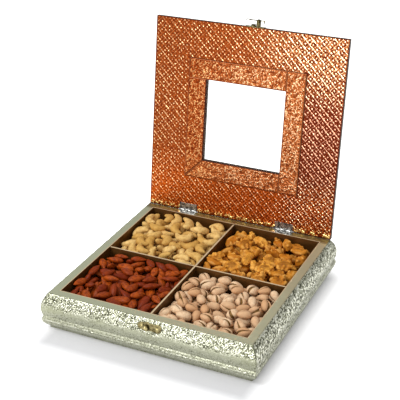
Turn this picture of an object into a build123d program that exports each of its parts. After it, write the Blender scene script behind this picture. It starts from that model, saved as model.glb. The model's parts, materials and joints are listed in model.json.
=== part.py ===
from build123d import *
import math
import os

# A square serving box for dried fruit: a tray of four mitred mouldings covered with embossed foil,
# lined with gold card and divided into four, under a hinged lid with a glazed window. All sizes in mm.
# The origin is on the floor under the middle of the tray, the front is -Y and +Z is up.
# The lid is modelled shut, then turned open to the pose that the box is shown in.

# Tray, measured at the flat rim
box_width = 254.0
box_depth = 252.0
box_height = 46.0
rim_width = 10.5
bulge_out = 7.2

# Outline of the mouldings: how far down from the rim, and how far out, as shares of the two sizes above
bulge_drop_share = 0.413
groove_drop_share = 0.622
bead_drop_share = 0.726
bead_out_share = 0.97
bead_end_drop_share = 0.878
bead_end_out_share = 0.53
foot_drop_share = 0.961
foot_out_share = 0.06

# Sheet materials
foil_thickness = 0.3
card_thickness = 1.0
divider_thickness = 2.0
divider_below_rim = 1.0
board_thickness = 3.0
board_lap = 4.0

# Lid
lid_setback = 0.5
panel_thickness = 6.0
shut_gap = 0.8
open_angle = 98.1
window_size = 106.0
trim_width = 25.0
trim_thickness = 1.5
pane_thickness = 2.0
pane_lap = 5.0
pane_play = 0.3

# Butt hinges
hinge_length = 25.0
hinge_from_side = 59.5
hinge_offset = -3.0
leaf_thickness = 0.8
leaf_parting = 0.2
knuckle_radius = 2.0
hinge_pin_radius = 0.8
running_fit = 0.05
clearance = 0.3

# Catch on the front bolster
latch_offset = 6.0
catch_drop = 7.5
catch_plate_length = 28.0
catch_plate_height = 8.0
catch_round_radius = 5.0
catch_lobe_reach = 10.5
catch_lobe_radius = 4.75
latch_plate_thickness = 0.8
catch_sink = 0.5
knob_reach = -3.0
knob_radius = 3.3
knob_rim = 0.8
knob_dome = 1.4
knob_gap = 0.2
neck_radius = 1.5
rivet_radius = 1.0
rivet_length = 7.0

# Plate and post on the lid's front edge
hook_plate_length = 26.0
hook_plate_height = 6.0
boss_reach = -2.5
boss_radius = 3.0
boss_height = 2.4
post_reach = 4.0
post_radius = 2.8
hook_pin_radius = 0.9
hook_pin_length = 5.0
hook_pin_head_radius = 2.2
hook_pin_head_rim = 0.3
hook_pin_head_dome = 0.8

# Hook
hook_out = 8.0
hook_thickness = 0.8
hook_end_play = 0.1
hook_width = 3.0
hook_eye_radius = 3.3
hook_end_width = 1.75
hook_neck_play = 0.45
hook_tail_length = 8.0
hook_tab_depth = 2.5

# Nails
nail_radius = 0.6
nail_head_radius = 1.4
nail_head_thickness = 0.5
hinge_nail_length = 5.0
hinge_nail_spacing = 15.0
catch_nail_spacing = 20.0
hook_nail_spacing = 21.0
board_nail_length = 11.0
board_nails_per_side = 3

# Every cut runs this far past what it cuts
overrun = 5.0

# Places worked out from the sizes
half_width = box_width / 2
half_depth = box_depth / 2
wall_inside = rim_width - card_thickness
lid_front = -(half_depth - lid_setback)
lid_rear = half_depth
lid_bottom = box_height + shut_gap
lid_top = lid_bottom + foil_thickness + panel_thickness + foil_thickness
lid_middle = (lid_front + lid_rear) / 2
hinge_y = half_depth
hinge_z = box_height + shut_gap / 2
leaf_depth = wall_inside
hinge_reach = half_width - hinge_from_side
hinge_places = {"left": hinge_offset - hinge_reach, "right": hinge_offset + hinge_reach}
half_window = window_size / 2
half_trim = half_window + trim_width
half_pane = half_window + pane_lap
board_top = board_thickness
floor_top = board_top + card_thickness

# The bolster is one arc that starts at the rim's edge and is upright at its widest line
bulge_drop = box_height * bulge_drop_share
bolster_radius = (bulge_out**2 + bulge_drop**2) / (2 * bulge_out)
bolster_centre_out = bulge_out - bolster_radius

# The catch lies on the bolster, square to its arc
catch_rise = bulge_drop - catch_drop
catch_tilt = math.asin(catch_rise / bolster_radius)
catch_out = bolster_centre_out + bolster_radius * math.cos(catch_tilt)
catch_plane = Plane(
    origin=(latch_offset, -(half_depth + catch_out), box_height - catch_drop),
    x_dir=(1, 0, 0),
    z_dir=(0, -math.cos(catch_tilt), math.sin(catch_tilt)),
)
catch_face = latch_plate_thickness - catch_sink

# The knob stands straight out of the front, and its neck is cut to the catch plate's face
knob_x = latch_offset + knob_reach
knob_z = box_height - catch_drop

# The hook turns on a post that stands straight out of the lid's front edge, in the frame of the shut lid
plate_y = lid_front - latch_plate_thickness
hook_y = lid_front - hook_out
post_x = latch_offset + post_reach
post_z = (lid_bottom + lid_top) / 2
edge_plane = Plane(origin=(latch_offset, plate_y, post_z), x_dir=(1, 0, 0), z_dir=(0, -1, 0))
hook_plane = Plane(origin=(post_x, hook_y, post_z), x_dir=(1, 0, 0), z_dir=(0, -1, 0))
knob_plane = Plane(origin=(knob_x, hook_y, knob_z), x_dir=(1, 0, 0), z_dir=(0, -1, 0))
hook_reach = math.hypot(post_x - knob_x, post_z - knob_z)
hook_swing = math.degrees(math.atan2(post_z - knob_z, post_x - knob_x))
hook_bend_radius = neck_radius + hook_neck_play
hook_end_radius = hook_bend_radius + hook_end_width


def block(x_range, y_range, z_range):
    """A box between two values along each axis."""
    sizes = [high - low for low, high in (x_range, y_range, z_range)]
    middle = [(high + low) / 2 for low, high in (x_range, y_range, z_range)]
    return Pos(*middle) * Box(*sizes)


def rod(radius, x_range, y, z):
    """A round rod along X."""
    length = x_range[1] - x_range[0]
    return Pos((x_range[0] + x_range[1]) / 2, y, z) * Rot(0, 90, 0) * Cylinder(radius, length)


def opened(shape):
    """The shape turned with the lid from shut to open."""
    return shape.rotate(Axis((0, hinge_y, hinge_z), (1, 0, 0)), -open_angle)


def bolster_point(inset, drop):
    """A point of the bolster's arc, moved inwards by an inset, at a drop below the rim."""
    radius = bolster_radius - inset
    return (bolster_centre_out + math.sqrt(radius**2 - (drop - bulge_drop) ** 2), -drop)


def wall_section(inset):
    """Section of a moulding: x is out from the rim's edge and y is up from the rim."""
    groove = bolster_point(inset, box_height * groove_drop_share)
    bead = (bulge_out * bead_out_share - inset, -box_height * bead_drop_share)
    bead_end = (bulge_out * bead_end_out_share - inset, -box_height * bead_end_drop_share)
    foot = (bulge_out * foot_out_share - inset, -box_height * foot_drop_share)
    start = bolster_point(inset, inset)
    lines = [
        Line((-wall_inside, -inset), start),
        ThreePointArc(start, (bulge_out - inset, -bulge_drop), groove),
        ThreePointArc(groove, bead, bead_end),
        Line(bead_end, foot),
        Line(foot, (foot[0], -box_height)),
        Line((foot[0], -box_height), (-wall_inside, -box_height)),
        Line((-wall_inside, -box_height), (-wall_inside, -inset)),
    ]
    return make_face(Wire(lines))


def mitred_side(section, along, across, turn):
    """A side of the tray: the section run along it and mitred at both corners."""
    reach = along + rim_width + bulge_out
    start = Plane(origin=(reach, -across, box_height), x_dir=(0, -1, 0), z_dir=(-1, 0, 0))
    run = extrude(start * section, reach * 2)
    spread = rim_width + bulge_out + overrun
    corners = [
        (-(along + spread), -(across + spread)),
        (along + spread, -(across + spread)),
        (along - spread, -(across - spread)),
        (-(along - spread), -(across - spread)),
    ]
    wedge = extrude(make_face(Polyline(*corners, close=True)), box_height + overrun)
    return Rot(0, 0, turn) * (run & wedge)


def hinge_pocket(x):
    """Room for both leaves of a shut hinge and for its knuckle."""
    half = hinge_length / 2
    deep = leaf_parting / 2 + leaf_thickness
    room = half + clearance
    height = (hinge_z - deep, hinge_z + deep)
    leaves = block((x - half, x + half), (hinge_y - leaf_depth, hinge_y + overrun), height)
    return leaves + rod(knuckle_radius + clearance, (x - room, x + room), hinge_y, hinge_z)


def catch_outline():
    """The catch plate's outline: a rounded bar with a round behind the knob and a lobe at its right end."""
    bar = SlotOverall(catch_plate_length, catch_plate_height)
    middle = Pos(knob_reach, 0) * Circle(catch_round_radius)
    return bar + middle + Pos(catch_lobe_reach, 0) * Circle(catch_lobe_radius)


def catch_pocket():
    """Room for the catch plate, let into the bolster."""
    return extrude(catch_plane.offset(-catch_sink) * catch_outline(), catch_sink + overrun)


def nail_places(spacing):
    """The two places of a pair of nails."""
    return (-spacing / 2, spacing / 2)


def nail(length):
    """A nail with its head's face at the origin, driven down along -Z."""
    head = Pos(0, 0, -nail_head_thickness / 2) * Cylinder(nail_head_radius, nail_head_thickness)
    shank = Pos(0, 0, -length / 2) * Cylinder(nail_radius, length)
    return head + shank


def box_hinge_nails():
    """The nails through the box leaves."""
    top = hinge_z - leaf_parting / 2
    row = hinge_y - (knuckle_radius + leaf_depth) / 2
    places = [x + dx for x in hinge_places.values() for dx in nail_places(hinge_nail_spacing)]
    return [Pos(x, row, top) * nail(hinge_nail_length) for x in places]


def lid_hinge_nails():
    """The nails through the lid leaves, in the frame of the shut lid."""
    low = hinge_z + leaf_parting / 2
    row = hinge_y - (knuckle_radius + leaf_depth) / 2
    places = [x + dx for x in hinge_places.values() for dx in nail_places(hinge_nail_spacing)]
    return [Pos(x, row, low) * Rot(180, 0, 0) * nail(hinge_nail_length) for x in places]


def catch_nails():
    """The nails through the catch plate's wings."""
    face = catch_plane.offset(catch_face)
    return [face * Pos(dx, 0, 0) * nail(hinge_nail_length) for dx in nail_places(catch_nail_spacing)]


def hook_plate_nails():
    """The nails through the plate on the lid's front edge, in the frame of the shut lid."""
    return [edge_plane * Pos(dx, 0, 0) * nail(hinge_nail_length) for dx in nail_places(hook_nail_spacing)]


def board_nails():
    """The nails up through the edge of the bottom board into the walls."""
    nails = []
    in_x = half_width - wall_inside + board_lap / 2
    in_y = half_depth - wall_inside + board_lap / 2
    for i in range(board_nails_per_side):
        share = (i + 0.5) / board_nails_per_side - 0.5
        for side in (-1, 1):
            nails.append(Pos(share * box_width, side * in_y, 0) * Rot(180, 0, 0) * nail(board_nail_length))
            nails.append(Pos(side * in_x, share * box_depth, 0) * Rot(180, 0, 0) * nail(board_nail_length))
    return nails


def bottom_board():
    """The board under the tray, lapped under the walls."""
    half_x = half_width - wall_inside + board_lap
    half_y = half_depth - wall_inside + board_lap
    return block((-half_x, half_x), (-half_y, half_y), (0, board_thickness))


def drilled(shape, tools):
    """The shape with each tool's room cut out of it."""
    for tool in tools:
        shape = shape - tool
    return shape


def domed_head(radius, rim, dome):
    """A round head that stands on the origin, with a rim and a domed face."""
    top = rim + dome
    dome_radius = (radius**2 + dome**2) / (2 * dome)
    lean = math.asin(radius / dome_radius) / 2
    dome_middle = (dome_radius * math.sin(lean), top - dome_radius * (1 - math.cos(lean)))
    edges = [
        Line((0, 0), (radius, 0)),
        Line((radius, 0), (radius, rim)),
        ThreePointArc((radius, rim), dome_middle, (0, top)),
        Line((0, top), (0, 0)),
    ]
    return revolve(Plane.XZ * make_face(Wire(edges)), Axis.Z)


def shank(radius, length):
    """A round shank from the origin down along -Z."""
    return Pos(0, 0, -length / 2) * Cylinder(radius, length)


def rivet():
    """The knob's shank, which runs through the catch plate into the moulding."""
    return knob_plane * shank(rivet_radius, rivet_length)


def knob():
    """The round knob on its neck, riveted through the catch plate."""
    under = hook_thickness + knob_gap
    behind = extrude(catch_plane.offset(catch_face) * Rectangle(box_width, box_height), -box_height)
    head = knob_plane * Pos(0, 0, under) * domed_head(knob_radius, knob_rim, knob_dome)
    neck = knob_plane * Pos(0, 0, under) * shank(neck_radius, rivet_length) - behind
    return head + neck + rivet()


def catch_plate():
    """The plate under the knob."""
    plate = extrude(catch_plane.offset(-catch_sink) * catch_outline(), latch_plate_thickness)
    return drilled(plate, catch_nails() + [rivet()])


def wall_tools():
    """What is cut out of each side's moulding and foil."""
    hinges = [hinge_pocket(x) for x in hinge_places.values()]
    return {
        "front": [catch_pocket(), rivet()] + catch_nails(),
        "back": hinges + box_hinge_nails(),
        "left": [],
        "right": [],
    }


def sides():
    """Each side's name, half its run, its distance from the middle and its turn."""
    return {
        "front": (half_width, half_depth, 0),
        "right": (half_depth, half_width, 90),
        "back": (half_width, half_depth, 180),
        "left": (half_depth, half_width, 270),
    }


def walls_and_foils():
    """The four mouldings and the foil over each."""
    parts = {}
    core = wall_section(foil_thickness)
    skin = wall_section(0) - core
    tools = wall_tools()
    nails = board_nails()
    for name, (along, across, turn) in sides().items():
        wall = mitred_side(core, along, across, turn) - bottom_board()
        parts[name + "_wall"] = drilled(wall, tools[name] + nails)
        parts[name + "_foil"] = drilled(mitred_side(skin, along, across, turn), tools[name])
    return parts


def liners():
    """The gold card on the floor and on each wall."""
    half_x = half_width - wall_inside
    half_y = half_depth - wall_inside
    in_x = half_x - card_thickness
    in_y = half_y - card_thickness
    height = (floor_top, box_height)
    across = (-half_x, half_x)
    along = (-in_y, in_y)
    return {
        "floor_liner": block(across, (-half_y, half_y), (board_top, floor_top)),
        "front_liner": block(across, (-half_y, -in_y), height),
        "back_liner": block(across, (in_y, half_y), height),
        "left_liner": block((-half_x, -in_x), along, height),
        "right_liner": block((in_x, half_x), along, height),
    }


def dividers():
    """The two boards, half lapped where they cross."""
    in_x = half_width - rim_width
    in_y = half_depth - rim_width
    half = divider_thickness / 2
    top = box_height - divider_below_rim
    lap = (floor_top + top) / 2
    across = block((-in_x, in_x), (-half, half), (floor_top, top))
    lengthwise = block((-half, half), (-in_y, in_y), (floor_top, top))
    crossing = (-half, half)
    return {
        "divider_across": across - block(crossing, crossing, (lap, top + overrun)),
        "divider_lengthwise": lengthwise - block(crossing, crossing, (floor_top - overrun, lap)),
    }


def hinge_leaf(x, side):
    """One leaf of a shut hinge: side -1 lies on the rim, side 1 on the lid."""
    low = x - hinge_length / 2
    high = x + hinge_length / 2
    near = hinge_z + side * leaf_parting / 2
    far = near + side * leaf_thickness
    leaf = block((low, high), (hinge_y - leaf_depth, hinge_y), (min(near, far), max(near, far)))
    middle = hinge_length / 6
    centre = (x - middle, x + middle)
    ends = [(low, centre[0] - clearance), (centre[1] + clearance, high)]
    if side > 0:
        mine = [centre]
        theirs = [(low - overrun, centre[0]), (centre[1], high + overrun)]
    else:
        mine = ends
        theirs = [(centre[0] - clearance, centre[1] + clearance)]
    for span in theirs:
        leaf = leaf - rod(knuckle_radius + clearance, span, hinge_y, hinge_z)
    for span in mine:
        leaf = leaf + rod(knuckle_radius, span, hinge_y, hinge_z)
    fit = running_fit if side > 0 else 0
    return leaf - rod(hinge_pin_radius + fit, (low - overrun, high + overrun), hinge_y, hinge_z)


def hinges():
    """The leaves and pins of both hinges, with the lid leaves turned open."""
    parts = {}
    half = hinge_length / 2
    for name, x in hinge_places.items():
        parts[name + "_hinge_box_leaf"] = drilled(hinge_leaf(x, -1), box_hinge_nails())
        parts[name + "_hinge_lid_leaf"] = opened(drilled(hinge_leaf(x, 1), lid_hinge_nails()))
        parts[name + "_hinge_pin"] = rod(hinge_pin_radius, (x - half, x + half), hinge_y, hinge_z)
    return parts


def square_hole(half, z_range):
    """A square hole about the window's middle."""
    return block((-half, half), (lid_middle - half, lid_middle + half), z_range)


def lid_board(inset, z_range):
    """A slab of the lid's outline, moved inwards by an inset."""
    return block(
        (-half_width + inset, half_width - inset), (lid_front + inset, lid_rear - inset), z_range
    )


def lid_sheets():
    """The lid's panel, its two foils and its pane, in the frame of the shut lid."""
    through = (lid_bottom - overrun, lid_top + overrun)
    inner_face = lid_bottom + foil_thickness
    outer_face = lid_top - foil_thickness
    pane_top = lid_bottom + pane_thickness
    rebate = square_hole(half_pane, (lid_bottom - overrun, pane_top))
    hinge_tools = [hinge_pocket(x) for x in hinge_places.values()]
    nail_tools = lid_hinge_nails() + hook_plate_nails()
    panel = lid_board(foil_thickness, (inner_face, outer_face))
    panel = panel - square_hole(half_window + foil_thickness, through) - rebate
    inner = lid_board(foil_thickness, (lid_bottom, inner_face)) - rebate
    outer = lid_board(0, (lid_bottom, lid_top)) - lid_board(foil_thickness, (through[0], outer_face))
    collar = square_hole(half_window + foil_thickness, (pane_top, lid_top))
    outer = outer + collar - square_hole(half_window, through)
    pane = square_hole(half_pane - pane_play, (lid_bottom, pane_top))
    return {
        "lid_panel": drilled(panel, hinge_tools + nail_tools),
        "lid_inner_foil": drilled(inner, hinge_tools + nail_tools),
        "lid_outer_foil": drilled(outer, hinge_tools + nail_tools),
        "window_pane": pane,
    }


def trims():
    """The four copper strips round the window, in the frame of the shut lid."""
    front_out = lid_middle - half_trim
    front_in = lid_middle - half_window
    rear_in = lid_middle + half_window
    rear_out = lid_middle + half_trim
    outlines = {
        "trim_right": [
            (half_window, front_out), (half_trim, front_out), (half_trim, rear_out), (half_window, rear_out)
        ],
        "trim_top": [
            (-half_trim, front_out), (half_window, front_out), (half_window, front_in), (-half_trim, front_in)
        ],
        "trim_left": [
            (-half_trim, front_in), (-half_window, front_in), (-half_window, rear_in), (-half_trim, rear_out)
        ],
        "trim_bottom": [
            (-half_trim, rear_out), (-half_window, rear_in), (half_window, rear_in), (half_window, rear_out)
        ],
    }
    under = Plane.XY.offset(lid_bottom - trim_thickness)
    return {
        name: extrude(under * make_face(Polyline(*points, close=True)), trim_thickness)
        for name, points in outlines.items()
    }


def hook_plate():
    """The plate on the lid's front edge with its boss and its post, in the frame of the shut lid."""
    plate = extrude(edge_plane * Rectangle(hook_plate_length, hook_plate_height), -latch_plate_thickness)
    height = plate_y - hook_y - hook_end_play
    boss = extrude(edge_plane * Pos(boss_reach, 0) * Circle(boss_radius), boss_height)
    post = extrude(edge_plane * Pos(post_reach, 0) * Circle(post_radius), height)
    return drilled(plate + boss + post, hook_plate_nails() + [hook_pin()])


def hook_pin():
    """The headed pin that holds the hook on its post, in the frame of the shut lid."""
    under = hook_thickness + hook_end_play
    head = domed_head(hook_pin_head_radius, hook_pin_head_rim, hook_pin_head_dome)
    return hook_plane * Pos(0, 0, under) * (head + shank(hook_pin_radius, hook_pin_length))


def hook():
    """The hook as it rests along the lid's edge, in the frame of the shut lid."""
    end = Pos(-hook_reach, 0)
    mouth = Pos(0, -hook_end_radius) * Rectangle(hook_bend_radius * 2, hook_end_radius * 2)
    length = hook_reach + hook_tail_length
    bar = Pos(hook_tail_length - length / 2, 0) * Rectangle(length, hook_width)
    outline = Circle(hook_eye_radius) + bar + end * Circle(hook_end_radius)
    outline = outline - end * (Circle(hook_bend_radius) + mouth) - Circle(hook_pin_radius + running_fit)
    tab_span = (hook_tail_length - hook_thickness, hook_tail_length)
    tab = block(tab_span, (-hook_width / 2, hook_width / 2), (-hook_tab_depth, hook_thickness))
    return extrude(hook_plane * outline, hook_thickness) + hook_plane * tab


def all_parts():
    """Every piece by name, each in the pose that the box is shown in."""
    parts = {"bottom_board": drilled(bottom_board(), board_nails())}
    parts["bottom_nails"] = Compound(board_nails())
    parts.update(walls_and_foils())
    parts.update(liners())
    parts.update(dividers())
    parts.update(hinges())
    parts["hinge_box_nails"] = Compound(box_hinge_nails())
    parts["hinge_lid_nails"] = opened(Compound(lid_hinge_nails()))
    parts["catch_plate"] = catch_plate()
    parts["catch_knob"] = knob()
    parts["catch_nails"] = Compound(catch_nails())
    for name, shape in {**lid_sheets(), **trims()}.items():
        parts[name] = opened(shape)
    parts["hook_plate"] = opened(hook_plate())
    parts["hook_plate_nails"] = opened(Compound(hook_plate_nails()))
    parts["hook_pin"] = opened(hook_pin())
    parts["hook"] = opened(hook())
    return parts


os.makedirs("parts", exist_ok=True)
for name, shape in all_parts().items():
    export_step(shape, "parts/" + name + ".step")

hook_axis = opened(Pos(post_x, hook_y, post_z) * Sphere(hook_pin_radius)).center()
print("lid hinge axis: y", round(hinge_y, 3), "z", round(hinge_z, 3))
print("hook hinge at rest: x", round(post_x, 3), "y", round(hook_axis.Y, 3), "z", round(hook_axis.Z, 3))
print("hook swing to the knob:", round(hook_swing, 2), "degrees")
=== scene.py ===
import json
import math

import bpy
import numpy as np
from bpy.props import FloatProperty, FloatVectorProperty, IntProperty, PointerProperty
from mathutils import Matrix, Vector


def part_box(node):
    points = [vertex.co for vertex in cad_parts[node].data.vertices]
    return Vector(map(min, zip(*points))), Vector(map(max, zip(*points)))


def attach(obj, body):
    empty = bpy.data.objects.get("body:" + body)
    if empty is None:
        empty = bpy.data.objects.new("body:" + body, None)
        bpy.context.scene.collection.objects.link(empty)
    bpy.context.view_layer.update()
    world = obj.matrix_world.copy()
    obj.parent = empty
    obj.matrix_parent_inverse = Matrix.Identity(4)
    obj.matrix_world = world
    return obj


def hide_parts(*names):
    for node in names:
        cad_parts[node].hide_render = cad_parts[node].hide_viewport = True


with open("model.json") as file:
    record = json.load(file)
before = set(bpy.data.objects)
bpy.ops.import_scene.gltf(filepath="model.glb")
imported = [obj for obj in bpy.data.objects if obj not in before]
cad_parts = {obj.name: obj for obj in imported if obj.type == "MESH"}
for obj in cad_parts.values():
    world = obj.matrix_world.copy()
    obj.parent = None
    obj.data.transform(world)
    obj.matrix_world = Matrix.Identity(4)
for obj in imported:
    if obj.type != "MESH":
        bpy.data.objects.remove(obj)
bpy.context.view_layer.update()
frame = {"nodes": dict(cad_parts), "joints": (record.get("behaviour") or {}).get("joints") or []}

bl_info = {
    "name": "Dried fruit box",
    "version": (1, 0, 0),
    "blender": (4, 5, 0),
    "location": "3D View > Sidebar > Fruit Box",
    "description": "Embossed foil, nuts, finishes and stage for the dried fruit box",
    "category": "Object",
}

MM = 0.001
FULL_TURN = 2 * math.pi

# The shut lid and the turn that opens it

lid_hinge = next(joint for joint in frame["joints"] if joint["name"] == "lid_hinge")
HINGE = Vector(lid_hinge["pos_m"])
OPEN_TURN = Matrix.Rotation(-math.radians(lid_hinge["range_deg"][1]), 4, "X")
OPENED = Matrix.Translation(HINGE) @ OPEN_TURN @ Matrix.Translation(-HINGE)
LID_DEPTH = 251.5 * MM
LID_THICKNESS = 6.6 * MM
HALF_GAP = 0.4 * MM
LID_REAR = lid_hinge["pos_m"][1]
LID_FRONT = LID_REAR - LID_DEPTH
LID_MIDDLE = (LID_FRONT + LID_REAR) / 2
LID_BOTTOM = lid_hinge["pos_m"][2] + HALF_GAP
LID_TOP = LID_BOTTOM + LID_THICKNESS
INNER_FACE = OPENED @ Matrix.Translation((0, LID_REAR, LID_BOTTOM)) @ Matrix.Rotation(math.pi, 4, "X")

# Places along x: the two hinges, half the width of their pockets, and the strip at the window's right

HINGE_PLACES = [sum(corner.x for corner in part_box(leaf)) / 2
                for leaf in ("left_hinge_box_leaf", "right_hinge_box_leaf")]
HINGE_POCKET = 12.55 * MM
TRIM_INNER, TRIM_OUTER = (corner.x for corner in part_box("trim_right"))
SMALL = 0.05 * MM


# Sizes and colours


def length(name, description, default):
    return FloatProperty(name=name, description=description, default=default, unit="LENGTH",
                         subtype="DISTANCE")


def colour(name, description, default):
    return FloatVectorProperty(name=name, description=description, default=default, size=3, min=0, max=1,
                               subtype="COLOR")


class FruitBoxSizes(bpy.types.PropertyGroup):
    """Sizes of the box's embossing, trims and contents"""

    half_width: length("Half width", "Half of the tray's width at the rim",
                       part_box("lid_outer_foil")[1].x)
    half_depth: length("Half depth", "Half of the tray's depth at the rim", LID_REAR)
    height: length("Height", "Height of the tray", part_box("front_foil")[1].z)
    rim: length("Rim", "Width of the flat rim that the foil covers", 0.0095)
    bulge: length("Bulge", "How far the mouldings stand out from the rim", 0.0072)
    foil: length("Foil thickness", "Thickness of the foils", 0.0003)
    side_step: length("Side grid", "Distance between the points of the side foils", 0.0006)
    side_relief: length("Side relief", "Height of the scrolls on the sides", 0.0006)
    scroll_pitch: length("Scroll pitch", "Distance from one scroll to the next", 0.0125)
    lattice_pitch: length("Lattice pitch", "Distance between the raised lines of the copper sheet", 0.00733)
    lattice_relief: length("Lattice relief", "Height of the lines and dots of the copper sheet", 0.00045)
    cover_step: length("Cover grid", "Distance between the points of the lid's outer cover", 0.00078)
    trim_step: length("Trim grid", "Distance between the points of the strips", 0.00052)
    trim_width: length("Trim width", "Width of the strips round the window", TRIM_OUTER - TRIM_INNER)
    trim_thickness: length("Trim thickness", "Thickness of the strips round the window", 0.0015)
    trim_relief: length("Trim relief", "Height of the curls on the strips", 0.00043)
    half_window: length("Half window", "Half of the window's side", TRIM_INNER)
    card_floor: length("Card floor", "Height of the lining's floor, on which the nuts lie", 0.004)
    nut_level: length("Nut level", "Height up to which a compartment is filled", 0.0461)
    almond_level: length("Almond level", "Height up to which the almonds are filled", 0.0445)
    seed: IntProperty(name="Seed", description="Start value of the nuts' places", default=7)


class FruitBoxColours(bpy.types.PropertyGroup):
    """Colours of the box's finishes"""

    silver: colour("Silver", "Silver coloured foil", (0.43, 0.44, 0.32))
    silver_worn: colour("Worn silver", "Worn places of the silver foil", (0.37, 0.38, 0.26))
    # The ridge colours are painted highlights, the recess colours painted shade with tarnish
    silver_ridge: colour("Silver ridges", "Raised lines of the silver foil", (0.89, 0.89, 0.77))
    silver_recess: colour("Silver recesses", "Low places of the silver foil", (0.045, 0.045, 0.026))
    silver_belly: colour("Silver belly", "Veil over the lower half of the sides", (0.44, 0.45, 0.32))
    silver_rim: colour("Silver rim", "Flat rim of the tray", (0.40, 0.42, 0.285))
    # Painted shadow of the open lid and painted copper reflection on the rim along the hinges
    silver_rear_shade: colour("Rear rim", "Flat rim along the hinges", (0.15, 0.12, 0.045))
    # Painted shade on the turned edges of the lid's cover
    silver_fold_shade: colour("Silver fold", "Turned edges of the lid's cover", (0.055, 0.014, 0.006))
    copper: colour("Copper", "Copper coloured foil", (0.28, 0.058, 0.010))
    # Painted reflections: the warm, pale and dark copper below stand for light and dark reflected by the lid
    copper_warm_reflection: colour("Warm copper", "Copper foil by the hinges", (0.45, 0.080, 0.007))
    copper_pale_highlight: colour("Pale copper", "Copper foil in the upper right corner", (0.46, 0.18, 0.06))
    copper_dark_reflection: colour("Dull copper", "Copper foil at the right edge", (0.11, 0.014, 0.005))
    # Painted shade with tarnish in the copper's low places
    copper_recess: colour("Copper recesses", "Low places of the copper foil", (0.10, 0.012, 0.004))
    # Painted shadow along the strips
    copper_strip_shadow: colour("Copper joint", "Shadow along the strips", (0.05, 0.008, 0.004))
    # Painted highlights on the copper's raised lines, changing over the sheet
    copper_ridge: colour("Copper ridges", "Raised lines of the copper foil", (1.0, 0.80, 0.52))
    ridge_left: colour("Left ridges", "Raised lines at the left", (1.0, 0.73, 0.38))
    ridge_low: colour("Low ridges", "Raised lines by the hinges", (1.0, 0.72, 0.26))
    ridge_dark_reflection: colour("Dull ridges", "Raised lines at the right edge", (0.80, 0.42, 0.26))
    # Painted light and shade: the strips are darker at the left and paler at the right and near the hinges
    trim_left: colour("Left trim", "Strips at the left", (0.27, 0.048, 0.007))
    trim_right: colour("Right trim", "Strips at the right", (0.36, 0.098, 0.024))
    trim_low: colour("Low trim", "Strips near the hinges", (0.42, 0.110, 0.026))
    # Painted highlights on the strips' curls
    trim_ridge_left: colour("Left trim ridges", "Curls at the left", (0.92, 0.56, 0.22))
    trim_ridge_right: colour("Right trim ridges", "Curls at the right", (1.0, 0.74, 0.44))
    trim_edge: colour("Trim edge", "Rounded edges of the strips", (0.60, 0.26, 0.11))
    # Painted shade on the sides of the strips
    trim_fold_shade: colour("Trim fold", "Sides of the strips", (0.05, 0.010, 0.004))
    card: colour("Gold card", "Gold faced card of the lining", (0.17, 0.074, 0.016))
    card_edge: colour("Card edge", "Raw edge of the card", (0.56, 0.42, 0.25))
    wood: colour("Wood", "Plain wood of the board and mouldings", (0.52, 0.34, 0.18))
    steel: colour("Steel", "Steel of the hinges and nails", (0.42, 0.42, 0.40))
    steel_stain: colour("Steel stain", "Dark places of the steel", (0.06, 0.06, 0.06))
    brass: colour("Brass", "Brass of the catch and hook", (0.50, 0.42, 0.20))
    brass_stain: colour("Brass stain", "Dark places of the brass", (0.14, 0.11, 0.04))
    aged_stain: colour("Aged stain", "Dark places of the hook and the catch's plate", (0.05, 0.04, 0.015))
    almond: colour("Almond", "Skin of the almonds", (0.32, 0.038, 0.002))
    almond_dark: colour("Dark almond", "Furrows and dark almonds", (0.11, 0.010, 0.001))
    almond_pale: colour("Pale almond", "Pale almonds", (0.56, 0.12, 0.008))
    cashew: colour("Cashew", "Cashews", (0.76, 0.46, 0.12))
    cashew_dark: colour("Dark cashew", "Marks and dark cashews", (0.46, 0.24, 0.05))
    cashew_pale: colour("Pale cashew", "Pale cashews", (0.92, 0.70, 0.33))
    walnut: colour("Walnut", "Walnuts", (0.62, 0.205, 0.006))
    walnut_dark: colour("Dark walnut", "Marks and dark walnuts", (0.34, 0.10, 0.007))
    walnut_pale: colour("Pale walnut", "Pale walnuts", (0.95, 0.52, 0.09))
    # Painted highlight on the lobes' tips and painted shade in the folds between them
    walnut_tip_highlight: colour("Walnut tips", "Outermost places of the lobes", (1.0, 0.58, 0.15))
    walnut_fold_shade: colour("Walnut folds", "Deep places between the lobes", (0.12, 0.024, 0.002))
    pistachio: colour("Pistachio", "Shells of the pistachios", (0.64, 0.37, 0.17))
    pistachio_dark: colour("Dark pistachio", "Marks and dark shells", (0.58, 0.32, 0.17))
    pistachio_pale: colour("Pale pistachio", "Pale shells", (0.92, 0.76, 0.55))
    pistachio_kernel: colour("Pistachio kernel", "Kernels between the shells", (0.24, 0.13, 0.035))
    floor: colour("Floor", "White floor", (0.9, 0.9, 0.9))
    # Painted shadow under the box
    floor_shade: colour("Floor shade", "Floor under the box", (0.60, 0.60, 0.62))


def sizes():
    return bpy.context.scene.fruit_box_sizes


def colours():
    return bpy.context.scene.fruit_box_colours


# Helpers for shaping


def only(*objects):
    """Selects these objects alone."""
    bpy.ops.object.select_all(action="DESELECT")
    for each in objects:
        each.select_set(True)
    bpy.context.view_layer.objects.active = objects[0]


def points_of(piece):
    """The piece's vertices as an array."""
    flat = np.empty(len(piece.data.vertices) * 3)
    piece.data.vertices.foreach_get("co", flat)
    return flat.reshape(-1, 3)


def set_points(piece, points):
    piece.data.vertices.foreach_set("co", np.ascontiguousarray(points, dtype=np.float32).ravel())
    piece.data.update()


def set_number(piece, name, values):
    """Keeps one number for each vertex, for the materials to read."""
    layer = piece.data.attributes.new(name, "FLOAT", "POINT")
    layer.data.foreach_set("value", np.ascontiguousarray(values, dtype=np.float32))


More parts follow.
